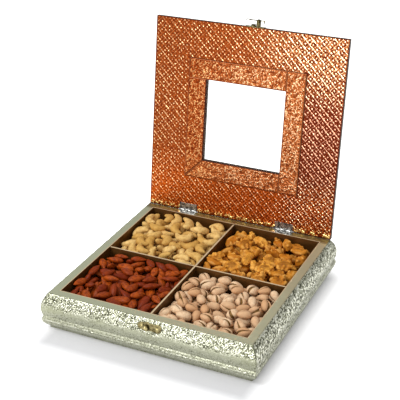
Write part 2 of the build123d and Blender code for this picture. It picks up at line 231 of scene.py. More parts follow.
def set_vector(piece, name, values):
    layer = piece.data.attributes.new(name, "FLOAT_VECTOR", "POINT")
    layer.data.foreach_set("vector", np.ascontiguousarray(values, dtype=np.float32).ravel())


def vector_of(piece, name):
    values = np.empty(len(piece.data.vertices) * 3, np.float32)
    piece.data.attributes[name].data.foreach_get("vector", values)
    return values.reshape(-1, 3)


def grid(name, columns, rows):
    """A flat grid of unit size about the origin, with its column and row numbers."""
    bpy.ops.object.select_all(action="DESELECT")
    bpy.ops.mesh.primitive_grid_add(x_subdivisions=columns, y_subdivisions=rows, size=1)
    piece = bpy.context.object
    piece.name = name
    piece.data.name = name
    at = points_of(piece)
    column = np.rint((at[:, 0] + 0.5) * columns).astype(int)
    row = np.rint((at[:, 1] + 0.5) * rows).astype(int)
    return piece, column, row


def add_modifier(piece, kind, **settings):
    modifier = piece.modifiers.new(kind.title(), kind)
    for name, value in settings.items():
        setattr(modifier, name, value)
    return modifier


def finish_modifier(piece, kind, **settings):
    """Adds a modifier and applies it."""
    modifier = add_modifier(piece, kind, **settings)
    only(piece)
    bpy.ops.object.modifier_apply(modifier=modifier.name)


def stops(breaks, step):
    """Places between the breaks, about a step apart, with every break among them."""
    places = [breaks[0]]
    for low, high in zip(breaks, breaks[1:]):
        count = max(1, round((high - low) / step))
        places.extend(low + (high - low) * (i + 1) / count for i in range(count))
    return np.array(places)


def smooth(piece, degrees):
    only(piece)
    bpy.ops.object.shade_smooth_by_angle(angle=math.radians(degrees))


def select_faces(piece, chosen):
    """Goes to edit mode with the faces selected for which chosen(centre) holds, or all if it is None."""
    only(piece)
    bpy.ops.object.mode_set(mode="EDIT")
    if chosen is None:
        bpy.ops.mesh.select_all(action="SELECT")
        return
    bpy.ops.mesh.select_mode(type="FACE")
    bpy.ops.mesh.select_all(action="DESELECT")
    bpy.ops.object.mode_set(mode="OBJECT")
    centres = np.empty(len(piece.data.polygons) * 3)
    piece.data.polygons.foreach_get("center", centres)
    piece.data.polygons.foreach_set("select", chosen(centres.reshape(-1, 3)))
    bpy.ops.object.mode_set(mode="EDIT")


def take_faces_out(piece, chosen):
    """Deletes the faces for which chosen(centre) holds."""
    select_faces(piece, chosen)
    bpy.ops.mesh.delete(type="FACE")
    bpy.ops.object.mode_set(mode="OBJECT")


def cut(piece, at, normal, near=None, clear=False):
    """Cuts the piece along a plane, in all its faces or only where near(centre) holds."""
    select_faces(piece, near)
    bpy.ops.mesh.bisect(plane_co=at, plane_no=normal, clear_outer=clear, threshold=1e-7)
    bpy.ops.object.mode_set(mode="OBJECT")


def cut_straight(piece, cuts, near=None, clear=False):
    """Cuts across an axis; each cut is the axis (0 or 1), the place on it and the outer direction."""
    for axis, place, outer in cuts:
        at, normal = [0, 0, 0], [0, 0, 0]
        at[axis], normal[axis] = place, outer
        cut(piece, at, normal, near, clear)


def edge_loops(piece, moves):
    """Carries the open edges of a sheet through moves, one extrusion for each."""
    only(piece)
    bpy.ops.object.mode_set(mode="EDIT")
    bpy.ops.mesh.select_mode(type="EDGE")
    bpy.ops.mesh.select_all(action="DESELECT")
    bpy.ops.mesh.select_non_manifold(extend=False, use_wire=False, use_multi_face=False,
                                     use_non_contiguous=False, use_verts=False)
    for move in moves:
        bpy.ops.mesh.extrude_edges_move()
        bpy.ops.object.mode_set(mode="OBJECT")
        at = points_of(piece)
        picked = np.zeros(len(piece.data.vertices), bool)
        piece.data.vertices.foreach_get("select", picked)
        at[picked] = move(at[picked])
        set_points(piece, at)
        bpy.ops.object.mode_set(mode="EDIT")
    bpy.ops.object.mode_set(mode="OBJECT")


def to_level(height):
    """A move that brings points to one height."""
    return lambda points: np.column_stack([points[:, :2], np.full(len(points), height)])


def close_sheet(piece, fill, place, degrees):
    """Fills the open edge that is selected, turns the faces outwards and puts the sheet in its place."""
    only(piece)
    bpy.ops.object.mode_set(mode="EDIT")
    fill()
    bpy.ops.mesh.select_all(action="SELECT")
    bpy.ops.mesh.normals_make_consistent(inside=False)
    bpy.ops.object.mode_set(mode="OBJECT")
    piece.data.transform(place)
    smooth(piece, degrees)
    return piece


def fill_ring():
    """Fills between the two borders of a sheet with a window."""
    bpy.ops.mesh.fill(use_beauty=False)


def smoothstep(low, high, value):
    t = np.clip((value - low) / (high - low), 0, 1)
    return t * t * (3 - 2 * t)


def hump(off, width):
    """One where off is nothing, and falling away smoothly over the width."""
    return np.exp(-((off / width) ** 2))


# Embossed patterns: heights from 0 to 1 over a sheet, lengths in mm


def value_noise(x, y, seed):
    """Smooth noise between 0 and 1 with a wave of one unit."""
    xi, yi = np.floor(x).astype(np.int64), np.floor(y).astype(np.int64)
    fx, fy = x - xi, y - yi
    fx, fy = fx * fx * (3 - 2 * fx), fy * fy * (3 - 2 * fy)

    def corner(a, b):
        n = (a * 374761393 + b * 668265263 + seed * 362437) & 0x7FFFFFFF
        n = ((n ^ (n >> 13)) * 1274126177) & 0x7FFFFFFF
        return ((n ^ (n >> 16)) & 0xFFFF) / 65535.0

    low = corner(xi, yi) * (1 - fx) + corner(xi + 1, yi) * fx
    high = corner(xi, yi + 1) * (1 - fx) + corner(xi + 1, yi + 1) * fx
    return low * (1 - fy) + high * fy


def luck(number):
    """A fixed random value between 0 and 1 for each number."""
    return np.abs(np.sin(number) * 43758.5453) % 1.0


def cell(value, pitch):
    """Place within a repeat, from minus half to half, and the number of the repeat."""
    number = np.floor(value / pitch + 0.5)
    return value - number * pitch, number


def stipple(x, y, size, seed):
    """Small irregular dimples and bumps of about one size."""
    return smoothstep(0.28, 0.72, value_noise(x / size, y / size, seed))


def scroll(x, y, pitch, turn):
    """A coiled tendril with a berry in its middle, about the origin of its cell."""
    reach, wire, berry_radius = pitch * 0.42, pitch * 0.17, pitch * 0.09
    radius = np.hypot(x, y)
    angle = np.arctan2(y, x * turn)
    coil = 0.5 + 0.5 * np.cos(FULL_TURN * (radius / wire - angle / FULL_TURN))
    coil = coil**1.3 * smoothstep(reach, reach * 0.86, radius)
    berry = np.sqrt(np.clip(1 - (radius / berry_radius) ** 2, 0, 1))
    return np.maximum(coil * 0.9, berry)


def fan(x, y, size):
    """A little leaf fan that opens upwards from the origin."""
    radius = np.hypot(x, y)
    angle = np.arctan2(x, y)
    lobes = 0.5 + 0.5 * np.cos(angle * 6)
    body = smoothstep(size, size * 0.75, radius * (1.15 - 0.25 * lobes)) * smoothstep(1.9, 1.3, np.abs(angle))
    return body * (0.35 + 0.65 * lobes)


def scroll_field(x, y, pitch):
    """Scrolls in staggered rows with leaf fans between them, turned and shifted from cell to cell."""
    ly, row = cell(y, pitch * 0.72)
    lx, column = cell(x + (row % 2) * pitch / 2, pitch)
    lx = lx + 0.12 * pitch * np.sin(column * 12.7 + row * 5.1)
    ly = ly + 0.10 * pitch * np.sin(column * 7.3 + row * 9.7)
    turn = np.where(np.sin(column * 37.1 + row * 17.3) > 0, 1.0, -1.0)
    between = lx - np.sign(lx) * pitch / 2
    return np.maximum(scroll(lx, ly, pitch, turn), 0.9 * fan(between, ly * turn + pitch * 0.12, pitch * 0.3))


def slanted_scrolls(x, y, pitch, swing, wave, seed):
    """Scrolls in rows that slant by 35 degrees and waver by half the swing."""
    u, v = 0.82 * x + 0.57 * y, 0.82 * y - 0.57 * x
    warp = swing * (value_noise(x / wave, y / wave, seed) - 0.5)
    return scroll_field(u + warp, v - warp, pitch)


def side_pattern(x, s, pitch, grain_size, grain_strength):
    """Height over a side: s runs from the rim's inner edge over the bolster to the floor.

    Scrolls under a grain on the bolster, a softer belly, a bead, and a foot that is almost plain.
    """
    rim_end, bolster_start = 8.4, 10.6
    bolster_end, belly_start, belly_sway = 25.0, 33.0, 5.0
    belly_end, bead_middle, bead_width = (43.2, 42.2), 44.8, 1.3
    foot_start = (46.2, 47.2)
    warp = 2.0 * (value_noise(x / 6, s / 6, 3) - 0.5)
    grain = stipple(x, s, grain_size, 91)
    sway = belly_sway * value_noise(x / 7, s / 7, 19)
    bolster = 0.20 * scroll_field(x + warp, s + warp, pitch) + 0.82 * grain - 0.10
    belly = 0.36 + (0.22 + grain_strength) * (grain - 0.5)
    height = bolster + (belly - bolster) * smoothstep(bolster_end - sway, belly_start - sway, s)
    height = height * smoothstep(rim_end, bolster_start, s) * smoothstep(*belly_end, s)
    bead = hump(s - bead_middle, bead_width) * (0.25 + 0.75 * grain)
    foot = (0.40 + 0.3 * (grain - 0.5)) * smoothstep(*foot_start, s)
    calm = 0.07 * value_noise(x / 3.0, s / 3.0, 5)
    return np.clip(np.maximum.reduce([height, bead, foot, calm]), 0, 1)


def lattice_pattern(a, b, pitch):
    """Broken raised lines with a stud in each square; a and b run across and along the bolder lines."""
    line_width, cross_width, stud_width, moat_width = 0.72, 0.7, 0.95, 0.6
    a = a + 0.5 * (value_noise(a / 11, b / 11, 47) - 0.5)
    la, column = cell(a, pitch)
    lb, row = cell(b, pitch)
    dash_place, dash = cell(b + 0.9 * np.sin(column * 3.1), pitch / 2)
    off_line = np.abs(np.abs(la) - pitch / 2)
    line = hump(off_line, line_width) * smoothstep(pitch / 4, pitch / 4 - 0.9, np.abs(dash_place))
    line = line * (0.55 + 0.45 * luck(dash * 12.9898 + np.floor(a / pitch) * 78.233))
    cross = 0.42 * hump(np.abs(np.abs(lb) - pitch / 2), cross_width)
    off_stud = np.hypot(la, lb * 0.66)
    stud = hump(off_stud, stud_width) * (0.65 + 0.35 * luck(row * 39.346 + column * 11.135))
    moat = np.maximum(hump(off_stud - 1.75, moat_width), 0.7 * hump(off_line - 1.5, 0.5))
    plain = 0.31 + 0.46 * (value_noise(a / 1.5, b / 1.5, 29) - 0.5)
    return np.clip(np.maximum.reduce([plain * (1 - 0.8 * moat), line, cross, stud]), 0, 1)


def trim_pattern(x, y):
    """Curls and leaves that lie every way, with a fine grain."""
    return np.clip(0.36 * slanted_scrolls(x, y, 11.0, 4.0, 5, 61) + 0.55 * stipple(x, y, 1.35, 23), 0, 1)


# Silver foil over the mouldings


def arc_points(start, middle, end, count):
    """Points along the arc through three points, without the first."""
    (ax, ay), (bx, by), (cx, cy) = start, middle, end
    d = 2 * (ax * (by - cy) + bx * (cy - ay) + cx * (ay - by))
    a2, b2, c2 = ax * ax + ay * ay, bx * bx + by * by, cx * cx + cy * cy
    ux = (a2 * (by - cy) + b2 * (cy - ay) + c2 * (ay - by)) / d
    uy = (a2 * (cx - bx) + b2 * (ax - cx) + c2 * (bx - ax)) / d
    radius = math.hypot(ax - ux, ay - uy)
    first, last = math.atan2(ay - uy, ax - ux), math.atan2(cy - uy, cx - ux)
    while last > first:
        last -= FULL_TURN
    turns = [first + (last - first) * (i + 1) / count for i in range(count)]
    return [(ux + radius * math.cos(t), uy + radius * math.sin(t)) for t in turns]


def softened(values, step, width):
    """Rounds off a line's corners over about the width."""
    reach = 16
    kernel = hump(np.arange(-reach, reach + 1) * step, width)
    kernel /= kernel.sum()
    before = 2 * values[0] - values[reach:0:-1]
    after = 2 * values[-1] - values[-2:-reach - 2:-1]
    return np.convolve(np.concatenate([before, values, after]), kernel, "valid")


def side_section(size):
    """The moulding's outline: run along it, place out from the rim, height below it, and the normal."""
    height, bulge = size.height / MM, size.bulge / MM
    bulge_drop, groove_drop = height * 0.413, height * 0.622
    radius = (bulge**2 + bulge_drop**2) / (2 * bulge)
    groove = (bulge - radius + math.sqrt(radius**2 - (groove_drop - bulge_drop) ** 2), -groove_drop)
    bead = (bulge * 0.97, -height * 0.726)
    bead_end = (bulge * 0.53, -height * 0.878)
    foot = (bulge * 0.06, -height * 0.961)
    path = [(-size.rim / MM, 0.0), (0.0, 0.0)]
    path += arc_points((0.0, 0.0), (bulge, -bulge_drop), groove, 60)
    path += arc_points(groove, bead, bead_end, 30)
    path += [foot, (foot[0], -height)]
    path = np.array(path)
    run = np.concatenate([[0], np.cumsum(np.hypot(*np.diff(path, axis=0).T))])
    step = 0.05
    s = np.append(np.arange(0, run[-1], step), run[-1])
    out, up = (softened(np.interp(s, run, values), step, 0.35) for values in path.T)
    slope_out, slope_up = np.gradient(out, s), np.gradient(up, s)
    scale = np.hypot(slope_out, slope_up)
    return s, out, up, -slope_up / scale, slope_out / scale


def catch_calm(x, s):
    """Flattens the pattern under the catch's plate, a bar with a round part at each side of it."""
    plate_x, plate_s, bar_half_length, bar_radius = 6.0, 18.44, 10.0, 4.0
    dx, dy = x - plate_x, s - plate_s
    bar = np.hypot(np.clip(np.abs(dx) - bar_half_length, 0, None), dy) - bar_radius
    left_round, right_round = np.hypot(dx + 3.0, dy) - 5.0, np.hypot(dx - 10.5, dy) - 4.75
    return smoothstep(0.0, 1.0, np.minimum.reduce([bar, left_round, right_round]))


def side_foil(side, across, along, turn, hinge_places, size):
    """The embossed foil over one moulding, mitred at both ends."""
    s, out, up, normal_out, normal_up = side_section(size)
    half = along / MM
    mitre_zone, rim_edge = 17.0, 11.5
    straight = half - mitre_zone
    pocket, leaf_height, pocket_reach = HINGE_POCKET / MM, 1.62 * MM, 4 * MM
    breaks = [-half, -straight]
    for place in sorted(hinge_places):
        breaks += [place - pocket, place + pocket]
    columns = stops(breaks + [straight, half], size.side_step / MM)
    rows = stops([0.0, rim_edge, s[-1]], size.side_step / MM)
    piece, column, row = grid(side + "_foil_sheet", len(columns) - 1, len(rows) - 1)
    x0 = columns[column]
    at = rows[len(rows) - 1 - row]
    e, z, n_out, n_up = (np.interp(at, s, values) for values in (out, up, normal_out, normal_up))
    end = np.clip((np.abs(x0) - straight) / (half - straight), 0, None)
    x = np.where(np.abs(x0) <= straight, x0, np.sign(x0) * (straight + end * (half + e - straight)))
    from_mitre = half + e - np.abs(x)
    shift = {"front": 3.0, "right": 8.0, "back": 13.0, "left": 17.0}[side]
    grain_size, grain_strength = (0.8, 0.05) if side == "front" else (1.3, 1.25)
    relief = side_pattern(x + shift, at, size.scroll_pitch / MM, grain_size, grain_strength)
    # Where the relief fades to nothing the material gives the recess colour: dark lines at the mitres, and
    # painted shade along the floor and round the catch's plate
    relief *= smoothstep(0.0, 1.2, from_mitre) * smoothstep(0.0, 0.8, s[-1] - at)
    if side == "front":
        relief *= catch_calm(x, at)
    lift = relief * size.side_relief / MM
    points = np.stack([x, -(across / MM + e + n_out * lift), size.height / MM + z + n_up * lift], 1) * MM
    set_points(piece, points)
    set_number(piece, "relief", relief)
    set_number(piece, "run", at)
    for place in hinge_places:
        take_faces_out(piece, lambda c, p=place: (np.abs(c[:, 0] / MM - p) < pocket)
                       & (c[:, 2] > size.height - leaf_height) & (c[:, 1] > -(across + pocket_reach)))
    finish_modifier(piece, "SOLIDIFY", thickness=size.foil, offset=-1)
    piece.data.transform(Matrix.Rotation(math.radians(turn), 4, "Z"))
    smooth(piece, degrees=50)
    return piece


# Lid


def inner_grid(size):
    """A flat sheet whose grid is laid along the raised lines, cut to the lid, its window and its hinges."""
    step = size.lattice_pitch / 10
    half, middle = size.half_width - size.foil, LID_DEPTH / 2
    count = 2 * round(0.5 * (2 * half + LID_DEPTH) / math.sqrt(2) / step) + 6
    piece, column, row = grid("lid_inner_foil_sheet", count, count)
    a, b = (column - count / 2) * step, (row - count / 2) * step
    flat = np.zeros_like(a)
    set_points(piece, np.stack([(a - b) / math.sqrt(2), (a + b) / math.sqrt(2) + middle, flat], 1))
    set_vector(piece, "lines", np.stack([a / MM, b / MM, flat], 1))
    cut_straight(piece, ((0, half, 1), (0, -half, -1), (1, LID_DEPTH - size.foil, 1), (1, size.foil, -1)),
                 clear=True)
    hole = size.half_window + 5 * MM
    band = 2 * step

    def by_window(c):
        return (np.abs(c[:, 0]) < hole + band) & (np.abs(c[:, 1] - middle) < hole + band)

    cut_straight(piece, ((0, hole, 1), (0, -hole, -1), (1, middle + hole, 1), (1, middle - hole, -1)),
                 near=by_window)
    take_faces_out(piece, lambda c: (np.abs(c[:, 0]) < hole) & (np.abs(c[:, 1] - middle) < hole))
    back, near = 9.55 * MM, 15 * MM
    for place in HINGE_PLACES:
        cut_straight(piece, ((0, place - HINGE_POCKET, -1), (0, place + HINGE_POCKET, 1), (1, back, 1)),
                     near=lambda c, p=place: (np.abs(c[:, 0] - p) < near) & (c[:, 1] < back + band))
        take_faces_out(piece, lambda c, p=place: (np.abs(c[:, 0] - p) < HINGE_POCKET) & (c[:, 1] < back))
    return piece


def lid_inner_sheet(size):
    """The copper sheet on the lid's inner face: lattice, a grained band by the hinges, plain at the edges."""
    piece = inner_grid(size)
    at = points_of(piece)
    x, v = at[:, 0], at[:, 1] - LID_DEPTH / 2
    lines = vector_of(piece, "lines")
    relief = lattice_pattern(lines[:, 0], lines[:, 1], size.lattice_pitch / MM)
    by_hinges = smoothstep(7.5, 3.5, at[:, 1] / MM)
    relief += by_hinges * (stipple(at[:, 0] / MM, at[:, 1] / MM, 1.5, 53) - relief)
    trim_gap = (np.maximum(np.abs(x), np.abs(v)) - (size.half_window + size.trim_width)) / MM
    # Painted shadow: the relief fades to nothing by the strips, which gives the recess colour there
    relief *= smoothstep(-0.5, 0.6, trim_gap)
    half = size.half_width - size.foil
    from_edge = np.minimum(half - np.abs(x), LID_DEPTH / 2 - size.foil - np.abs(v)) / MM
    relief *= smoothstep(0.0, 1.2, from_edge)
    at[:, 2] = relief * size.lattice_relief
    set_points(piece, at)
    set_number(piece, "relief", relief)
    set_number(piece, "trim_gap", trim_gap)
    edge_loops(piece, [to_level(-size.foil)])
    return close_sheet(piece, fill_ring, INNER_FACE, degrees=60)


def trim_strip(name, outline, mitres, size):
    """One strip: outline is its two ranges over the inner face, mitres are planes that cut it."""
    (x0, x1), (v0, v1) = outline
    piece, _, _ = grid(name + "_strip", round((x1 - x0) / size.trim_step), round((v1 - v0) / size.trim_step))
    at = points_of(piece)
    at[:, 0] = x0 + (at[:, 0] + 0.5) * (x1 - x0)
    at[:, 1] = v0 + (at[:, 1] + 0.5) * (v1 - v0)
    set_points(piece, at)
    for place, normal in mitres:
        cut(piece, place, normal, clear=True)
    at = points_of(piece)
    edge = np.minimum.reduce([at[:, 0] - x0, x1 - at[:, 0], at[:, 1] - v0, v1 - at[:, 1]])
    for place, normal in mitres:
        away = (np.array(place)[:2] - at[:, :2]) @ np.array(normal[:2]) / math.hypot(*normal[:2])
        edge = np.minimum(edge, away)
    edge = edge / MM
    if x1 - x0 > v1 - v0:
        along, across = at[:, 0], at[:, 1] - (v0 + v1) / 2
    else:
        along, across = at[:, 1], at[:, 0] - (x0 + x1) / 2
    relief = trim_pattern(along / MM, across / MM) * smoothstep(0.3, 1.8, edge)
    rounding = 0.3 * np.clip(1 - edge / 1.1, 0, 1) ** 2
    set_number(piece, "relief", relief)
    set_number(piece, "edge", edge)
    level = size.trim_thickness - 0.2 * MM
    at[:, 2] = level + relief * size.trim_relief - rounding * MM
    set_points(piece, at)
    edge_loops(piece, [to_level(0.5 * size.trim_thickness), to_level(0.0)])
    at = points_of(piece)
    window_shade = 1.0 * MM
    # Painted shade on the strips' sides and, on the left and bottom strips, in a band along the window
    dark = at[:, 2] < 0.6 * size.trim_thickness
    if x1 < 0:
        dark |= x1 - at[:, 0] < 1.1 * window_shade
    elif v1 < LID_DEPTH / 2:
        dark |= v1 - at[:, 1] < window_shade
    set_number(piece, "turned", dark)
    return close_sheet(piece, bpy.ops.mesh.edge_face_add, INNER_FACE, degrees=50)


def lid_outer_sheet(size):
    """The silver sheet over the lid's outer face, turned down over its edges and into the window."""
    half, window = size.half_width, size.half_window
    low, high = LID_FRONT, LID_REAR
    notch_half = 12.8 * MM
    # The right hinge's notch begins so near the window's edge that it has no break of its own there
    breaks_x = [-half, HINGE_PLACES[0] - notch_half, HINGE_PLACES[0] + notch_half, -window, window,
                HINGE_PLACES[1] + notch_half, half]
    columns = stops(sorted(breaks_x), size.cover_step)
    rows = stops([low, LID_MIDDLE - window, LID_MIDDLE + window, high], size.cover_step)
    piece, column, row = grid("lid_outer_foil_sheet", len(columns) - 1, len(rows) - 1)
    x, y = columns[column], rows[row]
    edge = np.minimum.reduce([half - np.abs(x), y - low, high - y,
                              np.maximum(np.abs(x), np.abs(y - LID_MIDDLE)) - window]) / MM
    relief = 0.46 * slanted_scrolls(x / MM, y / MM, 1.1 * size.scroll_pitch / MM, 3.0, 6, 31)
    relief += 0.46 * stipple(x / MM, y / MM, 1.4, 37) + 0.06
    relief *= smoothstep(0.4, 2.2, edge)
    rounding = 0.35 * np.clip(1 - edge / 0.9, 0, 1) ** 2
    set_points(piece, np.stack([x, y, LID_TOP + relief * size.side_relief - rounding * MM], 1))
    set_number(piece, "relief", relief)
    bolster_run = 20.0
    set_number(piece, "run", np.full(len(x), bolster_run))
    take_faces_out(piece, lambda c: (np.abs(c[:, 0]) < window) & (np.abs(c[:, 1] - LID_MIDDLE) < window))
    lip, sill, notch_top = 0.5 * MM, 2 * MM, 1.9 * MM

    def inside(p):
        return (np.abs(p[:, 0]) < window + MM) & (np.abs(p[:, 1] - LID_MIDDLE) < window + MM)

    def down(p):
        made = p.copy()
        made[:, 2] = np.where(inside(p), LID_BOTTOM + sill, LID_BOTTOM)
        at_rear = p[:, 1] > high - 2 * SMALL
        for place in HINGE_PLACES:
            made[at_rear & (np.abs(p[:, 0] - place) < notch_half + 2 * SMALL), 2] = LID_BOTTOM + notch_top
        made[at_rear & (made[:, 2] < LID_BOTTOM + MM), 1] += lip
        return made

    def inward(p):
        made = p.copy()
        kept = inside(p)
        shift = np.where(kept, 1.0, -1.0) * size.foil
        dy = p[:, 1] - LID_MIDDLE
        on_x = np.abs(np.abs(p[:, 0]) - np.where(kept, window, half)) < SMALL
        on_y = np.where(kept, np.abs(np.abs(dy) - window) < SMALL,
                        (np.abs(p[:, 1] - low) < SMALL) | (p[:, 1] > high - SMALL))
        made[:, 0] += np.where(on_x, np.sign(p[:, 0]) * shift, 0)
        made[:, 1] += np.where(on_y, np.sign(dy) * shift, 0)
        return made

    edge_loops(piece, [down, inward, to_level(LID_TOP - size.foil - SMALL)])
    # Painted shade: the material darkens the turned edges by this number
    turn_start, turn_end = LID_TOP - 0.6 * MM, LID_TOP - 1.6 * MM
    set_number(piece, "turned", smoothstep(turn_start, turn_end, points_of(piece)[:, 2]))
    return close_sheet(piece, fill_ring, OPENED, degrees=50)


# Nuts


def start_nut(kind, segments, rings):
    """A unit ball whose poles lie on the x axis."""
    bpy.ops.object.select_all(action="DESELECT")
    bpy.ops.mesh.primitive_uv_sphere_add(segments=segments, ring_count=rings, radius=1.0,
                                         rotation=(0, math.pi / 2, 0))
    nut = bpy.context.object
    nut.name = kind
    bpy.ops.object.transform_apply(location=True, rotation=True, scale=True)
    return nut


def join(name, parts):
    only(*parts)
    bpy.ops.object.join()
    piece = bpy.context.object
    piece.name = name
    return piece


def make_almond():
    """A flat drop with a point at one end."""
    half_width, half_thickness, to_point, to_end = 5.5, 3.6, 13.0, 9.6
    nut = start_nut("almond", 12, 10)
    at = points_of(nut)
    x = at[:, 0]
    taper = np.where(x > 0, 1 - 0.60 * x**2, 1 - 0.10 * x**2)
    at[:, 1] *= half_width * taper
    at[:, 2] *= half_thickness * taper
    at[:, 0] = np.where(x > 0, x * to_point, x * to_end)
    set_points(nut, at * MM)
    return nut


def make_cashew():
    """A bent bean, thicker at one end."""
    bend_radius, bend, flatness, scale = 8.4, 1.45, 0.88, 1.2
    nut = start_nut("cashew", 10, 14)
    at = points_of(nut)
    x = at[:, 0]
    thick = (4.9 - 0.9 * x) * (1 + 0.08 * np.cos(x * 5))
    width = at[:, 1] * thick
    high = at[:, 2] * thick * flatness
    turn = x * bend
    radius = bend_radius + width
    at = np.stack([radius * np.sin(turn), radius * np.cos(turn) - 6.0, high], 1)
    set_points(nut, at * scale * MM)
    return nut


def walnut_lobe(rng, side, place, level):
    """One bent lobe of a kernel, laid across it at a place along it, above or below the core."""
    lobe = start_nut("lobe", 8, 10)
    at = points_of(lobe)
    thick = rng.uniform(2.2, 3.0)
    bend, hoop = rng.uniform(0.8, 1.5), rng.uniform(3.6, 5.2)
    turn = at[:, 0] * bend
    radius = hoop + at[:, 1] * thick
    at = np.stack([radius * np.sin(turn), radius * np.cos(turn) - hoop, at[:, 2] * thick], 1)
    set_points(lobe, at * MM)
    y = side * rng.uniform(4.2, 6.8) + rng.normal(0, 0.6)
    z = level * 4.2 * (1 - (place / 13) ** 2 - (y / 12) ** 2) + rng.normal(0, 0.9)
    swing = Matrix.Rotation(math.pi / 2 + rng.normal(0, 0.7), 4, "Z")
    swing = swing @ Matrix.Rotation(rng.normal(0, 0.5), 4, "Y")
    lobe.data.transform(Matrix.Translation(Vector((place + rng.normal(0, 0.7), y, z)) * MM) @ swing)
    return lobe


def make_walnut(number):
    """A walnut half: one or two rows of bent lobes over a core, melted into one lumpy kernel."""
    rng = np.random.default_rng(50 + number)
    core = start_nut("core", 10, 8)
    core.data.transform(Matrix.Diagonal((10.5 * MM, 7.0 * MM, 4.6 * MM, 1)))
    above, below = (-9.0, -4.6, -0.2, 4.4, 8.8), (-7.0, 0.0, 7.0)
    whole = number % 2 == 0
    lobes = [core]
    for side in (-1, 1) if whole else (0,):
        lobes += [walnut_lobe(rng, side, place, 1.0) for place in above]
        lobes += [walnut_lobe(rng, side, place, -0.6) for place in below]
    nut = join("walnut", lobes)
    finish_modifier(nut, "REMESH", mode="VOXEL", voxel_size=1.05 * MM)
    half_sizes = np.array((13.5, 10.5 if whole else 6.0, 7.0)) * MM
    out = np.linalg.norm(points_of(nut) / half_sizes, axis=1)
    set_number(nut, "fold", smoothstep(0.4, 1.05, out))
    return nut


def start_egg(kind, segments, rings):
    """An egg, a little longer than wide."""
    half_length, half_width, half_thickness = 9.0, 5.9, 5.4
    nut = start_nut(kind, segments, rings)
    at = points_of(nut)
    taper = 1 - 0.22 * at[:, 0]
    at *= np.stack([np.full(len(at), half_length), half_width * taper, half_thickness * taper], 1)
    set_points(nut, at * MM)
    return nut


def make_pistachio():
    """Two half shells that gape at one end, with the kernel between them."""
    parts = []
    for side in (-1, 1):
        shell = start_egg("shell", 12, 8)
        cut(shell, (0, 0, 0), (0, -side, 0), clear=True)
        finish_modifier(shell, "SOLIDIFY", thickness=0.9 * MM, offset=-1)
        hinge_end = Vector((9.0 * MM, 0, 0))
        gape = Matrix.Translation(hinge_end) @ Matrix.Rotation(-side * math.radians(5.5), 4, "Z")
        shell.data.transform(gape @ Matrix.Translation(-hinge_end))
        set_number(shell, "kernel", np.zeros(len(shell.data.vertices)))
        parts.append(shell)
    kernel = start_egg("kernel", 8, 6)
    kernel.data.transform(Matrix.Diagonal((0.86, 0.80, 0.80, 1)))
    set_number(kernel, "kernel", np.ones(len(kernel.data.vertices)))
    return join("pistachio", parts + [kernel])


# Heaps of nuts, laid on a ground of small squares

SQUARE = 1.0 * MM
EASY_FAILURES = 60
MOST_NUTS = 520
PLACES_TRIED = 130
LATE_LEAN, LATE_ROLL = 0.12, 0.15
EARLY_SIZES, LATE_SIZES = (0.95, 1.06), (0.86, 0.94)
DROPS = (0.1, 5.0)


def surface_points(nut):
    """Points all over the nut's surface, for laying it on the heap."""
    at = points_of(nut)
    faces = [list(f.vertices) for f in nut.data.polygons]
    centres = np.array([at[f].mean(0) for f in faces])
    middles = np.array([(at[a] + at[b]) / 2 for a, b in nut.data.edge_keys])
    return np.concatenate([at, centres, middles])


def compartment(side_x, side_y):
    """The inside of the compartment at one corner of the tray, as its ranges in x and y."""
    divider, inside_x, inside_y = 0.0016, 0.116, 0.115
    xs = sorted((side_x * divider, side_x * inside_x))
    ys = sorted((side_y * divider, side_y * inside_y))
    return (xs[0], xs[1], ys[0], ys[1])


def ceiling(region, top):
    """How high the contents may reach: under the shut lid's strips a little lower than elsewhere."""
    strips, under_strips = (51 * MM, 80 * MM), 45.0 * MM
    x0, x1, y0, y1 = region
    xs = np.arange(int((x1 - x0) / SQUARE)) * SQUARE + x0 + SQUARE / 2
    ys = np.arange(int((y1 - y0) / SQUARE)) * SQUARE + y0 + SQUARE / 2
    away = np.maximum(np.abs(xs)[:, None], np.abs(ys - LID_MIDDLE)[None, :])
    return np.where((away > strips[0]) & (away < strips[1]), min(top, under_strips), top)


def random_turn(rng, late, tilt, spin):
    """A nut's turn and size: the late ones lie flatter and are smaller."""
    lean = rng.normal(0, LATE_LEAN if late else tilt)
    roll = rng.normal(0, LATE_ROLL if late else tilt) + math.pi * rng.integers(2)
    if spin and not late:
        roll = rng.uniform(0, FULL_TURN)
    turn = Matrix.Rotation(rng.uniform(0, FULL_TURN), 3, "Z") @ Matrix.Rotation(lean, 3, "Y")
    turn = turn @ Matrix.Rotation(roll, 3, "X")
    return turn, rng.uniform(*(LATE_SIZES if late else EARLY_SIZES))


def footprint(cloud):
    """The nut's lowest and highest places over the squares, and the square that its origin is in."""
    ix = np.floor(cloud[:, 0] / SQUARE).astype(int)
    iy = np.floor(cloud[:, 1] / SQUARE).astype(int)
    ox, oy = -ix.min(), -iy.min()
    squares = (ix.max() + ox + 1, iy.max() + oy + 1)
    under, over = np.full(squares, np.inf), np.full(squares, -np.inf)
    np.minimum.at(under, (ix + ox, iy + oy), cloud[:, 2])
    np.maximum.at(over, (ix + ox, iy + oy), cloud[:, 2])
    return under, over, (ox, oy)


